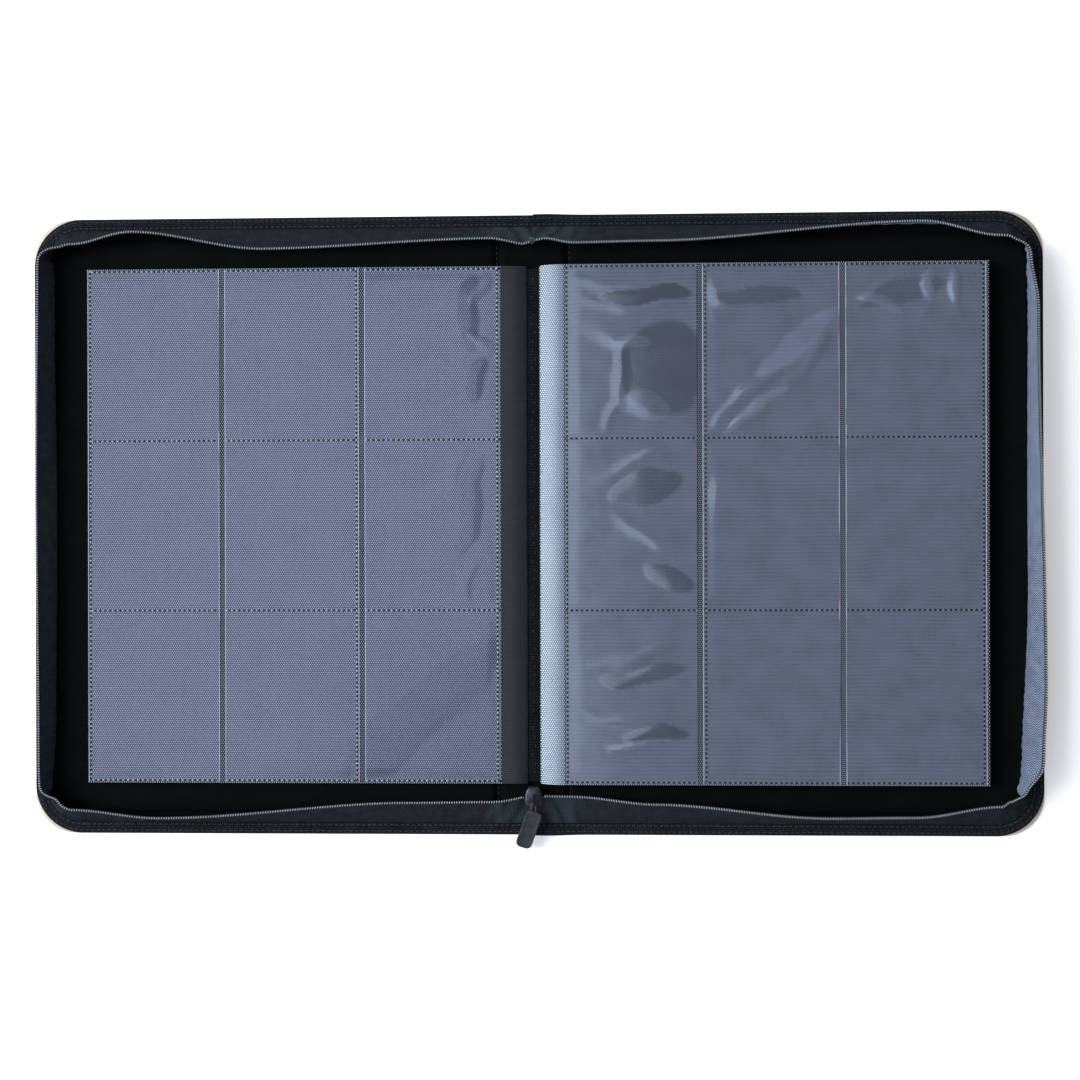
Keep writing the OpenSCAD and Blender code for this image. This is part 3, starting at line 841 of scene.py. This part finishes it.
def rim_band(side):
    """Band over the seam between skin and tape, puckered between its two rows of stitches."""
    shares = np.array([0, 0.08, 0.16, 0.24, 0.32, 0.44, 0.56, 0.66, 0.74, 0.82, 0.92, 1])
    bottom_z = skin_t + 0.02 * MM
    rings, uv = [], []
    for u, here, travelled in walk(1.0 * MM):
        corner = corner_share(u)
        near_spine = bell(here[0], 6 * MM, 14 * MM)
        out = outward(u)
        span = rim_span(u) + (0.6 * MM * near_spine if side == RIGHT else 0)
        ring_top, ring_bottom = [], []
        for share in shares:
            flat = here + out * span * share
            painted_glint = 0.75 * MM * (1 - abs(2 * share - 1) ** 3)
            dip = sum(bell(share, row, 0.06) for row in STITCH_ROWS)
            pucker = 0.1 * MM * math.sin(travelled / (0.95 * MM))
            pucker += corner * 0.3 * MM * math.sin(travelled / (0.62 * MM) + 3 * share)
            pucker += near_spine * 0.35 * MM * math.sin(travelled / (1.9 * MM) + 2 * share)
            z = rim_high.z - 0.75 * MM + painted_glint - 0.3 * MM * dip + pucker * (1 - abs(2 * share - 1))
            ring_top.append((flat[0], flat[1], max(z, bottom_z + 0.25 * MM)))
            ring_bottom.append((flat[0], flat[1], bottom_z))
            uv.append((travelled / MM, share * span / MM))
        uv += uv[-len(shares):][::-1]
        rings.append(ring_top + ring_bottom[::-1])
    verts, faces = tube_mesh(mirrored(rings, side))
    obj = make(f"{COVER_NAME[side]}_rim_band", verts, faces, RIM, "rim_cloth", uv)
    fold_blend(obj, side)
    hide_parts(f"{COVER_NAME[side]}_rim_binding")
    stitch_rows(side)


def stitch_rows(side):
    """Two rows of lockstitches along the rim band."""
    shape = pill(2.2 * MM, 0.6 * MM, 0.34 * MM, 6, 3)
    places = []
    for row in STITCH_ROWS:
        wanted = 0.0
        for u, flat, travelled in walk(0.4 * MM, lambda u: rim_point(u) + outward(u) * rim_span(u) * row):
            out = outward(u)
            if travelled >= wanted:
                wanted += 3 * MM
                places.append((turn_z(math.atan2(out[1], out[0]) + math.pi / 2),
                               (flat[0], flat[1], rim_high.z - 0.32 * MM)))
    verts, faces = many(*shape, places)
    obj = make(f"{COVER_NAME[side]}_rim_stitches", mirrored(verts, side), faces, SEAM_THREAD, "rim_cloth")
    fold_blend(obj, side)


# ---- Leaves -----------------------------------------------------------------------------
half_leaf = leaf_high.y
leaf_out = leaf_high.x
field_in = leaf_low.x
pocket_w, pocket_h = 74 * MM, 91.5 * MM
first_column = field_in + 0.5 * MM
edge_y = half_leaf - 1.5 * pocket_h
strip_low, strip_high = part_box("page_binding_strip")
comb_pitch = 1.57 * MM
CLOSED_LEAVES = {LEFT: 5, RIGHT: 13}
# Bare strips between the columns of pockets, as distances from the spine's middle
OPEN_STRIPS = {
    LEFT: [(90.1 * MM, 93.6 * MM), (165.8 * MM, 169.3 * MM)],
    RIGHT: [(87.3 * MM, 90.6 * MM), (162.4 * MM, 165.9 * MM)],
}
# Where the bound edges of the leaves come out of the binding strip, right and left of its comb
bound_x = {RIGHT: 3.6 * MM, LEFT: 3.2 * MM}


def leaf_profile(side, level, bound_z, x):
    """Height of a leaf at distance x from the spine's middle: it rises from the binding."""
    t = np.clip((x - bound_x[side]) / (field_in + 1 * MM - bound_x[side]), 0, 1)
    swell = np.sin(t * math.pi) * 0.8 * MM
    return bound_z + (level - bound_z) * np.sin(t * math.pi / 2) ** 0.9 + swell * (1 - t)


def stacked_leaf(side, number, count):
    """A closed leaf in the stack, bent down to the binding at its inner edge."""
    node = f"{SIDE_NAME[side]}_leaf_{number}"
    low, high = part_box(node)
    middle = (low.z + high.z) / 2
    bound = strip_high.z - 2.6 * MM + 2.2 * MM * number / (count + 1)
    slope_x = np.linspace(bound_x[side], field_in + 1 * MM, 12)
    x = np.concatenate([slope_x, np.linspace(field_in + 3 * MM, leaf_out, 9)])
    y = np.linspace(-half_leaf, half_leaf, 15)
    gx, gy = np.meshgrid(x, y, indexing="ij")
    gz = leaf_profile(side, middle, bound, gx)
    trim = (rng.random() - 0.5) * 0.7 * MM
    cut = np.array([side * (0.3 * MM + trim), 0.4 * trim, 0])
    shorter = cut * smoothstep(gx, field_in, leaf_out)[..., None]
    verts, faces = slab(np.stack([side * gx, gy, gz], -1) - shorter, 0.42 * MM)
    obj = make(f"{node}_sheet", verts, faces, LEAF_EDGE, "leaf_stack")
    x0, _, z0 = joints[f"{SIDE_NAME[side]}_leaves_bend"]["pos_m"]
    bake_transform(obj)
    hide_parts(node)


def column_span(side, column):
    starts = [first_column] + [strip[1] for strip in OPEN_STRIPS[side]]
    ends = [strip[0] for strip in OPEN_STRIPS[side]] + [first_column + 3 * pocket_w]
    return starts[column], ends[column]


def ellipse(mx, my, cx, cy, angle, length, width):
    """Distance of points from an ellipse's middle, 1 on its outline."""
    c, s = math.cos(math.radians(angle)), math.sin(math.radians(angle))
    along = ((mx - cx) * c + (my - cy) * s) / length
    across = (-(mx - cx) * s + (my - cy) * c) / width
    return np.sqrt(along ** 2 + across ** 2)


def swirled(x, y):
    """Millimetres on the leaf, shifted so that round outlines come out uneven."""
    mx, my = x / MM, y / MM
    return (mx + 1.8 * np.sin(my / 7.7 + mx / 23) + 0.6 * np.sin(my / 3.1 + mx / 5),
            my + 1.8 * np.sin(mx / 8.9 - my / 31) + 0.6 * np.sin(mx / 3.7 - my / 6))


def wrinkle(side, x, y):
    """Height of the film's soft ripples above flat, in metres; x and y in metres on the leaf."""
    mx, my = swirled(x, y)
    height = 0.1 * np.sin(mx / 19 + my / 61) * np.sin(my / 33 - mx / 70)
    for cx, cy, angle, length, width, depth in RIDGES[side]:
        height = height + depth * np.exp(-ellipse(mx, my, cx, cy, angle, length, width) ** 2)
    for *shape, _ in BLISTERS[side]:
        height = height + 0.4 * np.clip(1 - ellipse(mx, my, *shape) ** 2, 0, 1)
    return height * MM


def contact(side, x, y):
    """1 where the film lies on the sheet; less where a blister holds it off and under painted shade;
    above 1 under painted highlights.
    """
    mx, my = swirled(x, y)
    # Painted shade over the inner bottom pocket
    haze_and_light = np.ones_like(x) - GUTTER_SHADE[side] * np.exp(-ellipse(mx, my, -40, -115, 0, 62, 58) ** 2)
    for *shape, strength in BLISTERS[side]:
        inside = 1 - smoothstep(ellipse(mx, my, *shape), 0.86, 1.0)
        haze_and_light = haze_and_light - strength * inside
    return np.clip(haze_and_light, 0, 1.4)


# Painted shade: how much darker the film is painted in the inner bottom pocket, where the page curves
# down towards the spine
GUTTER_SHADE = {LEFT: 0.2, RIGHT: 0.0}

# Edges of films, drawn as lines of painted highlight, and weld lines, as distances from the spine's
# middle
FILM_EDGES = {LEFT: [90.2, 93.7, 165.9, 169.3, 240.4], RIGHT: [90.6, 162.4, 166.0, 239.4]}
WELD_COLUMNS = {LEFT: [19.1, 94.9, 239.3], RIGHT: [18.4, 91.9, 238.0]}

# Soft creases of the film: middle x, middle y, direction, half length, half width and height,
# in millimetres and degrees
RIDGES = {
    RIGHT: [
        (60, 128.5, 2, 26, 2.2, 0.35), (62, 115, -6, 26, 2.4, 0.4), (52, 99, -14, 12, 4, 0.5),
        (46, 76, 78, 22, 3, 0.35), (118, 127, 5, 26, 3, 0.45), (112, 118, -10, 20, 2.6, 0.4),
        (130, 80, 38, 38, 3.4, 0.7), (146, 88, 52, 20, 2.6, 0.6), (122, 58, 30, 16, 2.4, 0.5),
        (186, 126, 30, 16, 2.2, 0.5), (196, 116, -14, 18, 2.4, 0.5), (209, 127, 76, 10, 2.8, 0.75),
        (224, 127, 88, 11, 2.6, 0.8), (176, 118, -30, 14, 2.2, 0.45), (60, 34, 24, 20, 3, 0.3),
        (64, -6, -24, 18, 3, 0.3), (54, -70, 12, 20, 4, 0.35), (52, -104, -10, 16, 2.2, 0.3),
        (124, 22, 18, 40, 8, 0.35), (190, -20, -12, 44, 9, 0.3), (160, -92, 20, 46, 9, 0.3),
    ],
    LEFT: [
        (-27, 126, 62, 9, 2.4, 0.35), (-30, 98, -20, 8, 2.2, 0.3), (-40, 30, 80, 14, 3, 0.25),
        (-34, -30, 70, 16, 3, 0.25),
    ],
}

# Places where the film stands off the sheet: middle x, middle y, direction, half length and
# half width in millimetres, and how much darker its colour is painted there, part lost haze
# and part painted reflection (negative values paint a highlight)
BLISTERS = {
    RIGHT: [
        (61, 122, 0, 27, 5, 0.75), (69, 82, -20, 24, 27, 0.6), (58, 62, -12, 15, 8, -0.4),
        (54, 97, -10, 11, 4, -0.45), (60, 20, 20, 22, 9, 0.5), (72, -28, -30, 16, 7, 0.5),
        (58, -80, 6, 24, 5, 0.45), (66, -112, 4, 20, 4, 0.6), (50, -118, 0, 12, 2, -0.4),
        (120, 121, -4, 24, 5, 0.45), (140, 96, 42, 30, 6, -0.55), (118, 60, 34, 24, 3, -0.5),
        (196, 122, 18, 26, 6, 0.35), (210, 127, 76, 9, 3.2, -1.1), (224, 127, 89, 10, 2.6, -1.3),
        (182, 116, -24, 14, 3, -0.4),
    ],
    LEFT: [
        (-34, 112, 84, 22, 6, 0.3), (-28, 124, 62, 9, 3.5, -0.25), (-29, 98, -16, 8, 2.6, -0.3),
        (-30, 78, 86, 14, 5, 0.25), (-60, -100, 40, 60, 16, 0.12), (-34, 10, 80, 30, 7, 0.15),
    ],
}


def top_leaf(side):
    """The open leaf on top of a stack: embossed sheet, films on both faces, welds and edges."""
    name = SIDE_NAME[side]
    body = TOP_LEAF[side]
    node = f"{name}_top_leaf_backing"
    low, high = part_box(node)
    level = (low.z + high.z) / 2
    sheet = make_sheet(f"{name}_embossed_sheet", side, level, field_in - 0.2 * MM, leaf_out, 90, 60,
                       (high.z - low.z) * 0.8, SHEET, "embossed_sheet")
    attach(sheet, body)
    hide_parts(node)
    leaf_margin(side, level)
    for face, sign in (("front", 1), ("back", -1)):
        pocket_films(side, body, face, sign, level)
    welds(side, body, level)


# Where the margin's root piece ends and its slope piece starts
PARTING = {LEFT: 9 * MM, RIGHT: 12.5 * MM}


def leaf_margin(side, level):
    """Bare margin between binding and pockets, in two pieces: its root and the slope up to the pockets.
    """
    bound = strip_high.z + 0.1 * MM
    name = SIDE_NAME[side]
    # The right margin carries a painted reflection
    material = MARGIN if side == LEFT else GLARE_SHEET
    parting = PARTING[side]
    y = np.linspace(-half_leaf, half_leaf, 177 * 4 + 1)
    pieces = (("root", bound_x[side], parting, 9), ("slope", parting, field_in, 20))
    for label, x_from, x_to, steps in pieces:
        gx, gy = np.meshgrid(np.linspace(x_from, x_to, steps), y, indexing="ij")
        tooth = np.abs((gy / comb_pitch) % 1 * 2 - 1)
        gx = gx + 0.95 * MM * tooth * (1 - smoothstep(gx, bound_x[side], bound_x[side] + 2.2 * MM))
        gz = leaf_profile(side, level, bound, gx)
        verts, faces = slab(np.stack([side * gx, gy, gz], -1), 0.24 * MM)
        margin = make(f"{name}_margin_{label}", verts, faces, material, "embossed_sheet")
        if label == "root":
            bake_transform(margin)
        else:
            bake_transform(margin)


def make_sheet(name, side, level, x_from, x_to, steps, rows, thickness, material, slot):
    x = np.linspace(x_from, x_to, steps)
    y = np.linspace(-half_leaf, half_leaf, rows)
    gx, gy = np.meshgrid(x, y, indexing="ij")
    gz = np.full_like(gx, level)
    verts, faces = slab(np.stack([side * gx, gy, gz], -1), thickness)
    return make(name, verts, faces, material, slot)


def pocket_films(side, body, face, sign, level):
    """Three columns of film on one face; each is pinned down at its welds and free at its mouth."""
    name = SIDE_NAME[side]
    columns, haze_and_light = [], []
    for column in range(3):
        x0, x1 = column_span(side, column)
        x = np.linspace(x0, x1, 70)
        y = np.linspace(-half_leaf + 0.6 * MM, half_leaf - 0.6 * MM, 234)
        gx, gy = np.meshgrid(x, y, indexing="ij")
        row = (gy + 1.5 * pocket_h) / pocket_h
        from_weld = np.abs(row - np.round(row)) * pocket_h
        puff = smoothstep(from_weld, 0.6 * MM, 7 * MM)
        into = (gx - x0) if column < 2 else (x1 - gx)
        puff = puff * smoothstep(into, 0.8 * MM, 8 * MM)
        lift = 0.22 * MM + puff * (0.12 * MM + wrinkle(side, side * gx, gy))
        gz = level + sign * np.clip(lift, 0.2 * MM, 1.25 * MM)
        columns.append(slab(np.stack([side * gx, gy, gz], -1), 0.08 * MM))
        haze_and_light += [contact(side, side * gx, gy).ravel()] * 2
    obj = make(f"{name}_{face}_pocket_film", *joined(columns), FILM[side], "pocket_film")
    # Haze and painted light of the film, carried by its points
    obj.data.attributes.new("HazeAndLight", "FLOAT", "POINT").data.foreach_set("value", np.concatenate(haze_and_light))
    cut = sum(column_span(side, column)[1] - column_span(side, column)[0] for column in range(3))
    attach(obj, body)
    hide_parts(f"{name}_top_leaf_{face}_film")
    y = np.linspace(-half_leaf + 0.4 * MM, half_leaf - 0.4 * MM, 30)
    rims = [swept([(side * x * MM, yy, level + sign * 0.33 * MM) for yy in y], 0.22 * MM, 0.08 * MM, 6)
            for x in FILM_EDGES[side]]
    edge = make(f"{name}_{face}_film_edges", *joined(rims), LIP, "pocket_film")
    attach(edge, body)


def welds(side, body, level):
    """Ultrasonic weld lines: dark melted dents with small beads between them, coloured light as painted
    highlights.
    """
    pitch_row, pitch_column = 2.7 * MM, 2.48 * MM
    row_lines = [-half_leaf + edge_y + 0.2 * MM + i * (pocket_h - 0.1 * MM) for i in range(4)]
    dent_x = np.arange(first_column + 0.6 * MM, leaf_out - 2.2 * MM, pitch_row)
    along_rows = [(side * x, y) for y in row_lines for x in dent_x if not in_open_strip(side, x)]
    along_columns = [(side * x * MM, y) for x in WELD_COLUMNS[side]
                     for y in np.arange(-half_leaf + 2 * MM, half_leaf - 1.5 * MM, pitch_column)]
    bead_size = 1.15 if side == LEFT else 0.85
    for sign, face in ((1, "front"), (-1, "back")):
        z = level + sign * 0.3 * MM
        flip = np.diag([1, 1, sign])
        quarter = turn_z(math.pi / 2) @ flip
        dents = [(flip, (x, y, z)) for x, y in along_rows]
        dents += [(quarter, (x, y, z)) for x, y in along_columns]
        beads = [(flip, (x + side * pitch_row / 2, y, z)) for x, y in along_rows]
        beads += [(quarter, (x, y + pitch_column / 2, z)) for x, y in along_columns]
        dent_shape = pill(1.6 * MM, 1.15 * MM, 0.12 * MM, 8, 3)
        bead_shape = pill(bead_size * MM, 0.8 * MM, 0.2 * MM, 8, 3)
        for label, shape, places, material in (("weld_dents", dent_shape, dents, WELD),
                                               ("weld_beads", bead_shape, beads, BEAD[side])):
            name = f"{SIDE_NAME[side]}_{face}_{label}"
            obj = make(name, *many(*shape, places), material, "pocket_film")
            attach(obj, body)


def in_open_strip(side, x):
    """True where x lies in a bare strip between two columns of pockets."""
    return any(low - 0.3 * MM < x < high + 0.3 * MM for low, high in OPEN_STRIPS[side])


# ---- Binding strip ----------------------------------------------------------------------
def binding():
    """Comb of black cloth between the two bundles of leaves, with a row of thread specks."""
    y = np.arange(-strip_high.y + 1 * MM, strip_high.y - 1 * MM, comb_pitch / 5)
    x = np.linspace(strip_low.x, strip_high.x, 19)
    gx, gy = np.meshgrid(x, y, indexing="ij")
    tooth = 0.5 + 0.5 * np.cos(gy * 2 * math.pi / comb_pitch)
    hump = np.clip(1 - (np.abs(gx - 0.3 * MM) / (8.9 * MM)) ** 2, 0, 1)
    gz = strip_low.z + 0.35 * MM + 1.7 * MM * hump + 0.7 * MM * tooth * hump
    strip = make("binding_comb", *slab(np.stack([gx, gy, gz], -1), 0.5 * MM), COMB, "binding_strip")
    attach(strip, "spine")
    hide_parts("page_binding_strip")
    shape = pill(1.1 * MM, 0.36 * MM, 0.3 * MM, 6, 3)
    places = []
    for k, yy in enumerate(np.arange(-strip_high.y + 6 * MM, strip_high.y - 6 * MM, 3 * comb_pitch)):
        x_speck = 0.4 * MM + 0.9 * MM * math.sin(k * 2.3)
        turn = turn_z(math.pi / 2 + 0.4 * math.sin(k * 1.7))
        places.append((turn, (x_speck, yy, strip_low.z + 2.75 * MM)))
    specks = make("binding_stitches", *many(*shape, places), YELLOW_THREAD, "thread")
    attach(specks, "spine")
    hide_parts("page_binding_thread")


def spine_seams():
    """Stitched seams in the lining along both fold lines."""
    shape = pill(2.2 * MM, 0.5 * MM, 0.3 * MM, 6, 3)
    for side in (LEFT, RIGHT):
        x = side * (fold_x + 0.5 * MM)
        places = [(turn_z(math.pi / 2), (x, y, 2.08 * MM))
                  for y in np.arange(-panel_high.y + 4 * MM, panel_high.y - 3 * MM, 3 * MM)]
        obj = make(f"spine_seam_{SIDE_NAME[side]}", *many(*shape, places), SEAM_THREAD, "lining")
        fold_blend(obj, side)


# ---- Slider and pull --------------------------------------------------------------------
def rounded_outline(half_w, low_y, high_y, radius, points=6):
    outline = []
    for cx, cy, start in ((half_w - radius, high_y - radius, 0), (radius - half_w, high_y - radius, 90),
                          (radius - half_w, low_y + radius, 180), (half_w - radius, low_y + radius, 270)):
        for a in np.radians(np.linspace(start, start + 90, points)):
            outline.append((cx + radius * math.cos(a), cy + radius * math.sin(a)))
    return np.array(outline)


def pillow(outline, low, high, edge):
    """Solid between two heights over an outline, with its upper and lower edges rounded."""
    centre = outline.mean(0)
    rings = []
    for shrink, z in ((edge, low), (edge * 0.3, low + edge * 0.3), (0, low + edge), (0, high - edge),
                      (edge * 0.3, high - edge * 0.3), (edge, high)):
        size = np.abs(outline - centre).max(0)
        scaled = centre + (outline - centre) * (1 - shrink / size)
        rings.append([(x, y, z) for x, y in scaled])
    return tube_mesh(rings)


def pull_tab():
    """Soft rubber tab with a raised rim, on its wire link."""
    pivot = np.array(joints["pull_tab_swing"]["pos_m"])
    drop, lean = math.radians(16), math.radians(-19)
    length, width = 22 * MM, 8.6 * MM
    outline = rounded_outline(width / 2, 2.8 * MM - length, 2.8 * MM, 2.8 * MM, 7)
    rings = []
    centre = outline.mean(0)
    size = np.abs(outline - centre).max(0)
    # (how far inside the outline, height) in millimetres, from the underside over the rim
    section = ((0.7, -1.0), (0.25, -1.22), (0, -0.9), (0, 0.9), (0.25, 1.22), (0.75, 1.28), (1.25, 1.0),
               (2.0, 0.92))
    for shrink, z in section:
        scaled = centre + (outline - centre) * (1 - shrink * MM / size)
        rings.append([(x, y, z * MM) for x, y in scaled])
    verts, faces = tube_mesh(rings)
    c, s = math.cos(drop), math.sin(drop)
    tilt = np.array([[1, 0, 0], [0, c, -s], [0, s, c]])
    verts = verts @ (tilt @ turn_z(lean)).T + pivot
    obj = make("rubber_pull_tab", verts, faces, RUBBER, "tab_rubber")
    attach(obj, "pull_tab")
    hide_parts("pull_tab")


def wire_link():
    """Bent loop of wire through the slider's bridge and the tab."""
    start = np.array(joints["pull_link_swing"]["pos_m"])
    end = np.array(joints["pull_tab_swing"]["pos_m"])
    along = end - start
    length = np.linalg.norm(along)
    along /= length
    side_dir = np.array([1.0, 0, 0])
    half = 1.15 * MM
    points = []
    for a in np.linspace(0, 2 * math.pi, 40, endpoint=False):
        stretch = length / 2 + 0.45 * MM
        x = half * np.sign(math.cos(a)) * abs(math.cos(a)) ** 0.5
        y = stretch * np.sign(math.sin(a)) * abs(math.sin(a)) ** 0.5
        points.append(start + along * (length / 2) + side_dir * x + along * y)
    verts, faces = swept(points, 0.45 * MM, 0.45 * MM, 8, (0, 0.5, 0.87), closed=True)
    obj = make("wire_pull_link", verts, faces, WIRE, "link_wire")
    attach(obj, "pull_link")
    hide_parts("pull_link")


def slider():
    """Cast slider: two shaped plates, flanged sides and an arched bridge."""
    low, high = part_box("slider_body")
    centre_y = (low.y + high.y) / 2
    outline = rounded_outline((high.x - low.x) / 2, low.y, high.y, 2.2 * MM, 6)
    taper = 1 - 0.22 * smoothstep(outline[:, 1], centre_y, high.y)
    outline = outline * np.stack([taper, np.ones(len(taper))], -1)
    plate = 1.4 * MM
    parts = [pillow(outline, low.z, low.z + plate, 0.45 * MM)]
    parts.append(pillow(outline, high.z - plate, high.z, 0.5 * MM))
    post = rounded_outline(1.6 * MM, centre_y, centre_y + 3.2 * MM, 1.2 * MM, 4)
    parts.append(pillow(post, low.z + plate * 0.8, high.z - plate * 0.8, 0.05 * MM))
    for s in (-1, 1):
        x_side = s * ((high.x - low.x) / 2 - 0.5 * MM)
        flange = rounded_outline(0.45 * MM, centre_y - 3.4 * MM, centre_y + 1.4 * MM, 0.4 * MM, 3)
        flange = flange + np.array([x_side, 0])
        parts.append(pillow(flange, high.z - plate - 0.7 * MM, high.z - plate + 0.2 * MM, 0.1 * MM))
        parts.append(pillow(flange, low.z + plate - 0.2 * MM, low.z + plate + 0.7 * MM, 0.1 * MM))
    body = make("cast_slider", *joined(parts), METAL, "slider_metal")
    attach(body, "slider")
    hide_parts("slider_body")
    b_low, b_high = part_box("slider_bridge")
    arch = []
    for a in np.linspace(0, math.pi, 17):
        y = (b_low.y + b_high.y) / 2 + (b_high.y - b_low.y) / 2 * math.cos(a)
        arch.append((0, y, high.z - 0.1 * MM + (b_high.z - high.z) * math.sin(a) ** 0.6))
    verts, faces = swept(arch, 1.5 * MM, 0.5 * MM, 8, (1, 0, 0.001))
    bridge = make("slider_arch", verts, faces, METAL, "slider_metal")
    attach(bridge, "slider")
    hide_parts("slider_bridge")


def joined(parts):
    """One (vertices, faces) pair from several."""
    verts, faces, offset = [], [], 0
    for v, f in parts:
        faces += [[i + offset for i in ids] for ids in f]
        verts.append(v)
        offset += len(v)
    return np.vstack(verts), faces


# ---- Carried-over CAD nodes -------------------------------------------------------------
def dress(node, material):
    """Gives a CAD node that stays its material."""
    obj = frame["nodes"][node]
    obj.data.materials.clear()
    obj.data.materials.append(material)


def stage():
    """Pale table, key light from the left and soft fill."""
    mesh = bpy.data.meshes.new("table")
    size = 4.0
    corners = [(-size, -size, 0), (size, -size, 0), (size, size, 0), (-size, size, 0)]
    mesh.from_pydata(corners, [], [(0, 1, 2, 3)])
    look = Look("Table", (0.95, 0.95, 0.95), 0.8, Specular_IOR_Level=0.1, Emission_Color=(1, 1, 1, 1),
                Emission_Strength=0.3)
    mesh.materials.append(look.material)
    table = bpy.data.objects.new("table", mesh)
    table.location.z = -0.0002
    bpy.context.scene.collection.objects.link(table)
    # name, place, width, height, power in watts, colour
    lights = [
        ("key", (-2.2, 0.35, 2.0), 1.2, 1.8, 68, (0.95, 0.98, 1.0)),
        ("window", (-0.9, 0.0, 2.0), 1.14, 1.9, 12, (0.66, 0.82, 1.0)),
    ]
    for name, place, width, height, power, color in lights:
        data = bpy.data.lights.new(name, "AREA")
        data.shape = "RECTANGLE"
        data.size, data.size_y = width, height
        data.energy = power
        data.color = color
        lamp = bpy.data.objects.new(name, data)
        lamp.location = place
        lamp.rotation_euler = Vector((-place[0], 0, -place[2])).to_track_quat("-Z", "Y").to_euler()
        bpy.context.scene.collection.objects.link(lamp)
    studio_world()
    bpy.context.scene.view_settings.view_transform = "Standard"


def studio_world():
    """Room that is bright near the horizon, dim overhead and darker on the right."""
    world = bpy.data.worlds.new("studio")
    bpy.context.scene.world = world
    world.use_nodes = True
    tree = world.node_tree
    background = tree.nodes["Background"]
    background.inputs["Color"].default_value = (0.93, 0.96, 1.0, 1)
    direction = tree.nodes.new("ShaderNodeTexCoord")
    split = tree.nodes.new("ShaderNodeSeparateXYZ")
    tree.links.new(direction.outputs["Generated"], split.inputs[0])
    product = tree.nodes.new("ShaderNodeMath")
    product.operation = "MULTIPLY"
    # Axis, the two places on it, and the strength at each
    fades = (("Z", 0.2, 0.88, 2.0, 0.18), ("X", -0.4, 0.4, 1.0, 0.3))
    for slot_index, (axis, *numbers) in enumerate(fades):
        fade = tree.nodes.new("ShaderNodeMapRange")
        for index, number in enumerate(numbers):
            fade.inputs[index + 1].default_value = number
        tree.links.new(split.outputs[axis], fade.inputs[0])
        tree.links.new(fade.outputs[0], product.inputs[slot_index])
    tree.links.new(product.outputs[0], background.inputs["Strength"])


def camera():
    """Straight above the spine, a little to the right and leaning back towards it."""
    distance = 1.05
    tilt = math.radians(2.6)
    roll = math.radians(-0.16)
    target = (3.3 * MM, -8.3 * MM, 0)
    data = bpy.data.cameras.new("camera")
    data.sensor_width = 36
    data.lens = 61.8 * distance
    cam = bpy.data.objects.new("camera", data)
    cam.location = (target[0] + distance * math.sin(tilt), target[1], distance * math.cos(tilt))
    cam.rotation_euler = (0, tilt, roll)
    bpy.context.scene.collection.objects.link(cam)
    bpy.context.scene.camera = cam


# ---- Building ---------------------------------------------------------------------------
camera()
for side in (LEFT, RIGHT):
    outer_skin(side)
    inner_lining(side)
    stiffeners(side)
    gutter_cloth(side)
    rim_band(side)
    zip_tape(side)
    zip_coil(side)
for side, count in CLOSED_LEAVES.items():
    for number in range(1, count + 1):
        stacked_leaf(side, number, count)
for side in (LEFT, RIGHT):
    top_leaf(side)
spine_core()
binding()
spine_seams()
slider()
wire_link()
pull_tab()
for node in ("zip_top_stop", "zip_bottom_stop"):
    dress(node, METAL)
stage()
